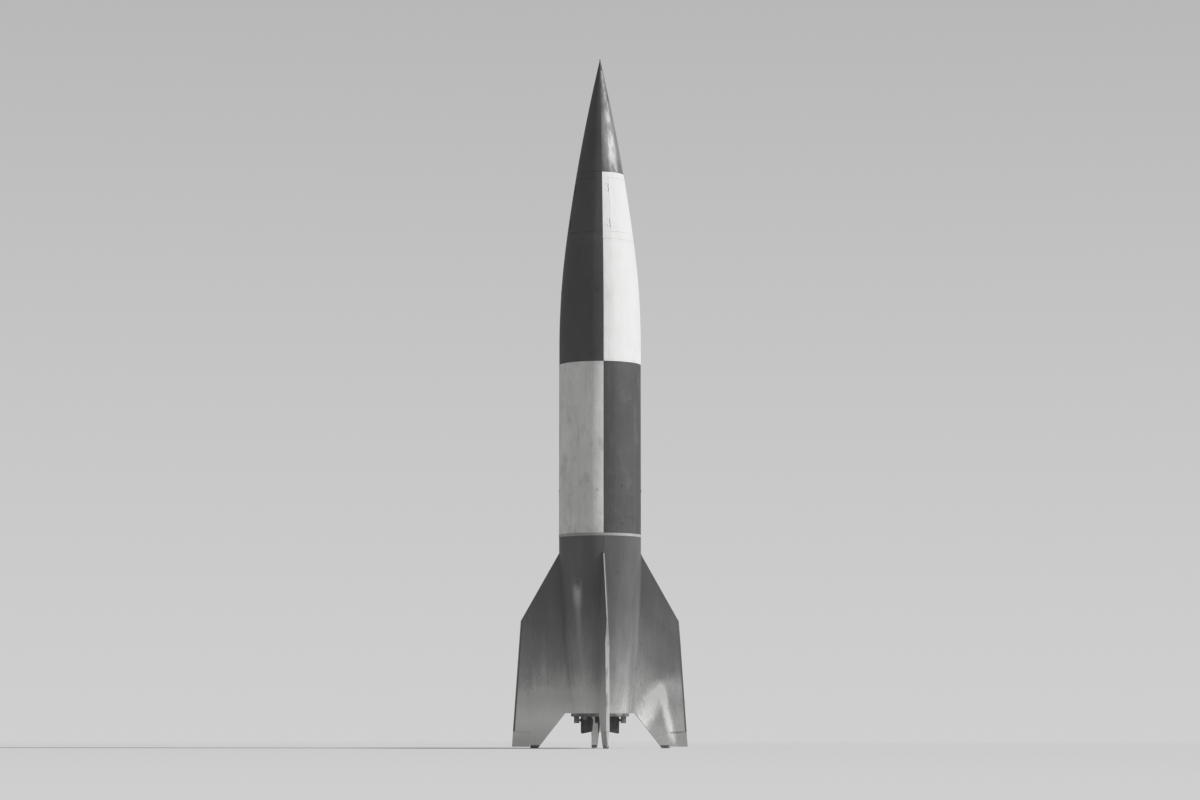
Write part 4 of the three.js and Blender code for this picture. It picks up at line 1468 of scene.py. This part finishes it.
class EngineOperator(bpy.types.Operator):
    """Makes the thrust chamber, the base shroud and the turbine exhausts"""

    bl_idname = "rocket.engine"
    bl_label = "Engine"

    def execute(self, context):
        self.chamber()
        self.shroud()
        for number, degrees in ((1, 45), (2, 225)):
            self.exhaust(number, math.radians(degrees))
        return {"FINISHED"}

    def chamber(self):
        """The bell, the throat and the pot with its flat-topped dome."""
        exit_radius, throat_radius, pot_radius, dome_radius = 0.37, 0.2, 0.455, 0.21
        wall, dome_wall, waist = 0.015, 0.025, 0.025
        low, high = (corner.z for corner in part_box("thrust_chamber"))
        middle = (exit_radius + throat_radius) / 2 - waist
        # Inside of the wall, from the mouth up
        inside = [
            (exit_radius, low),
            (middle + 0.05, low + 0.2),
            (middle, low + 0.4),
            (throat_radius, low + 0.7),
            (throat_radius, low + 0.76),
            (pot_radius * 0.86, low + 1.02),
            (pot_radius, low + 1.2),
            (pot_radius * 0.8, high - 0.14),
        ]
        inside = eased(inside, 6)
        outside = [(radius + wall, z) for radius, z in inside]
        roof = [
            (dome_radius, high),
            (0, high),
            (0, high - dome_wall),
            (dome_radius - dome_wall, high - dome_wall),
        ]
        bm = spun([*outside, *roof, *reversed(inside)], steps=96)
        soften(bm, width=0.003, over=50)
        piece(bm, "thrust_bell", "hot_steel", ["thrust_chamber"])

    def shroud(self):
        """The plate between the bell and the rim, sunk between its edges, with a row of bolts."""
        inner, rim_wall = 0.392, 0.0504
        edge, step, sunk = 0.012, 0.016, 0.005
        bolts, bolt_inset, bolt_radius, bolt_height = 32, 0.03, 0.006, 0.003
        low, high = (corner.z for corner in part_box("base_shroud"))
        outer = skin_radius(TAIL_END) - rim_wall
        profile = [
            (inner, low),
            (inner + edge, low),
            (inner + step, low + sunk),
            (outer - step, low + sunk),
            (outer - edge, low),
            (outer, low),
            (outer, high),
            (inner, high),
        ]
        bm = spun(profile)
        soften(bm, width=0.0015)
        for angle in ring(bolts):
            spot = away(angle) * (outer - bolt_inset) + UP * (low + sunk)
            bolt(bm, spot, -UP, bolt_radius, bolt_height)
        piece(bm, "base_plate", "hot_steel", ["base_shroud"])

    def exhaust(self, number, angle):
        """A pipe with a thicker upper end."""
        inner, outer, flange, flange_height, reach = 0.040, 0.046, 0.048, 0.008, 0.462
        low, high = (corner.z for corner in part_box("turbine_exhaust_1"))
        profile = [
            (inner, low),
            (outer, low),
            (outer, high - flange_height),
            (flange, high - flange_height),
            (flange, high),
            (inner, high),
        ]
        bm = spun(profile, steps=48)
        soften(bm, width=0.0015)
        bmesh.ops.translate(bm, verts=bm.verts, vec=(reach * math.cos(angle), reach * math.sin(angle), 0))
        piece(bm, f"exhaust_pipe_{number}", "hot_steel", [f"turbine_exhaust_{number}"])


class InsideOperator(bpy.types.Operator):
    """Gives the plain pieces inside the rocket their finishes"""

    bl_idname = "rocket.inside"
    bl_label = "Inside"

    def execute(self, context):
        finishes = {
            "bay_partition_long": "birch_plywood",
            "bay_partition_front": "birch_plywood",
            "bay_partition_back": "birch_plywood",
            "turbopump_block": "hot_steel",
            "thrust_frame": "hot_steel",
        }
        for node, finish in finishes.items():
            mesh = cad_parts[node].data
            mesh.materials.clear()
            mesh.materials.append(bpy.data.materials[finish])
        return {"FINISHED"}


class StudioOperator(bpy.types.Operator):
    """Makes the floor, the light and the camera"""

    bl_idname = "rocket.studio"
    bl_label = "Studio"

    def execute(self, context):
        studio = context.scene.rocket_studio
        self.film(context.scene.view_settings)
        self.floor()
        self.room(studio)
        self.key_light(studio)
        self.camera(context, studio)
        return {"FINISHED"}

    def film(self, view):
        """Old film: a veil over the blacks, and a gentle shoulder that holds bright paint short of white."""
        brightest, palest, veil, straight = 1.6, 0.9, 0.014, 0.35
        shoulder = ((0.7, 0.7), (1.0, 0.83), (1.3, 0.88))
        view.view_transform = "Standard"
        view.use_curve_mapping = True
        mapping = view.curve_mapping
        mapping.white_level = (brightest, brightest, brightest)
        combined = mapping.curves[3]
        combined.points[0].location = (0.0, veil)
        combined.points[-1].location = (1.0, palest)
        for scene_light, shown in ((straight, straight + veil), *shoulder):
            combined.points.new(scene_light / brightest, shown)
        mapping.update()

    def floor(self):
        """A round floor that fades into the backdrop and can't be seen from below."""
        size, drop, grey = 120, 0.002, 0.55
        fade_start, fade_end = 8.0, 60.0
        bm = bmesh.new()
        bmesh.ops.create_circle(bm, cap_ends=True, segments=96, radius=size)
        bmesh.ops.translate(bm, verts=bm.verts, vec=(0, 0, -drop))
        mesh = bpy.data.meshes.new("studio_floor")
        bm.to_mesh(mesh)
        bm.free()
        floor = bpy.data.objects.new("studio_floor", mesh)
        bpy.context.scene.collection.objects.link(floor)
        finish = Finish("studio_floor")
        finish.set(base_color=(grey, grey, grey, 1), roughness=0.9)
        solid = Socket(finish, finish.shader.outputs[0])
        clear = finish.node("ShaderNodeBsdfTransparent")
        underside = finish.node("ShaderNodeNewGeometry", output="Backfacing")
        faded = finish.step(finish.radius(), fade_start, fade_end)
        gone = finish.math("MAXIMUM", faded, underside)
        blend = finish.node("ShaderNodeMixShader", sockets={0: gone, 1: solid, 2: clear})
        output = finish.tree.nodes["Material Output"]
        finish.feed(output.inputs["Surface"], blend)
        mesh.materials.append(finish.material)

    def room(self, studio):
        """A grey room, paler towards the floor, whose light comes evenly from all sides."""
        ramp_top, top_share = 0.3, 0.68
        world = bpy.data.worlds.new("room")
        bpy.context.scene.world = world
        world.use_nodes = True
        tree = world.node_tree
        tree.nodes.clear()
        place = tree.nodes.new("ShaderNodeTexCoord")
        split = tree.nodes.new("ShaderNodeSeparateXYZ")
        ramp = tree.nodes.new("ShaderNodeMapRange")
        ramp.inputs["From Min"].default_value = 0.0
        ramp.inputs["From Max"].default_value = ramp_top
        ramp.inputs["To Min"].default_value = studio.backdrop
        ramp.inputs["To Max"].default_value = studio.backdrop * top_share
        ray = tree.nodes.new("ShaderNodeLightPath")
        seen = tree.nodes.new("ShaderNodeMix")
        seen.inputs[2].default_value = studio.fill
        light = tree.nodes.new("ShaderNodeBackground")
        light.inputs["Color"].default_value = (1, 1, 1, 1)
        output = tree.nodes.new("ShaderNodeOutputWorld")
        links = tree.links
        links.new(place.outputs["Generated"], split.inputs[0])
        links.new(split.outputs["Z"], ramp.inputs["Value"])
        links.new(ray.outputs["Is Camera Ray"], seen.inputs[0])
        links.new(ramp.outputs[0], seen.inputs[3])
        links.new(seen.outputs[0], light.inputs["Strength"])
        links.new(light.outputs[0], output.inputs["Surface"])

    def key_light(self, studio):
        """The sun, a little softened."""
        width = math.radians(4)
        light = bpy.data.lights.new("key", "SUN")
        light.energy = studio.sun
        light.angle = width
        key = bpy.data.objects.new("key", light)
        bpy.context.scene.collection.objects.link(key)
        side = math.radians(studio.azimuth + studio.sun_side)
        height = math.radians(studio.sun_height)
        flat = math.cos(height)
        towards = Vector((math.sin(side) * flat, -math.cos(side) * flat, math.sin(height)))
        key.rotation_mode = "QUATERNION"
        key.rotation_quaternion = towards.to_track_quat("Z", "Y")

    def camera(self, context, studio):
        """A view of the whole rocket from far away, a little from below."""
        lens = bpy.data.cameras.new("camera")
        lens.sensor_width = 36
        tall = HEIGHT / studio.share
        lens.lens = lens.sensor_width * studio.distance / (tall * PICTURE_SHAPE)
        lens.clip_end = 1000
        camera = bpy.data.objects.new("camera", lens)
        context.scene.collection.objects.link(camera)
        side = math.radians(studio.azimuth)
        back = Vector((math.sin(side), -math.cos(side), 0)) * studio.distance
        camera.location = back + UP * studio.eye
        aim = UP * (HEIGHT / 2)
        camera.rotation_mode = "QUATERNION"
        camera.rotation_quaternion = (camera.location - aim).to_track_quat("Z", "Y")
        context.scene.camera = camera


class RocketPanel(bpy.types.Panel):
    """Lists the steps that make the rocket"""

    bl_idname = "VIEW3D_PT_rocket"
    bl_label = "Sounding Rocket"
    bl_space_type = "VIEW_3D"
    bl_region_type = "UI"
    bl_category = "Rocket"

    def draw(self, context):
        for settings in GROUPS:
            group = getattr(context.scene, settings)
            for name in group.bl_rna.properties.keys():
                if name not in ("name", "rna_type"):
                    self.layout.prop(group, name)
        for operator in OPERATORS:
            self.layout.operator(operator.bl_idname)


GROUPS = {
    "rocket_shape": RocketShape,
    "rocket_finish": RocketFinish,
    "rocket_studio": RocketStudio,
}
OPERATORS = (
    FinishesOperator,
    NoseOperator,
    BayOperator,
    DoorsOperator,
    SkinsOperator,
    TailOperator,
    HatchesOperator,
    FinsOperator,
    VanesOperator,
    EngineOperator,
    InsideOperator,
    StudioOperator,
)


def register():
    """Adds the add-on's settings, steps and panel."""
    for name, group in GROUPS.items():
        bpy.utils.register_class(group)
        setattr(bpy.types.Scene, name, PointerProperty(type=group))
    for made in (*OPERATORS, RocketPanel):
        bpy.utils.register_class(made)


def unregister():
    """Removes the settings, steps and panel."""
    for made in (RocketPanel, *reversed(OPERATORS)):
        bpy.utils.unregister_class(made)
    for name, group in reversed(GROUPS.items()):
        delattr(bpy.types.Scene, name)
        bpy.utils.unregister_class(group)


def main():
    """Makes the rocket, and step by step."""
    register()
    for operator in OPERATORS:
        space, name = operator.bl_idname.split(".")
        getattr(getattr(bpy.ops, space), name)()


if __name__ == "__main__":
    main()
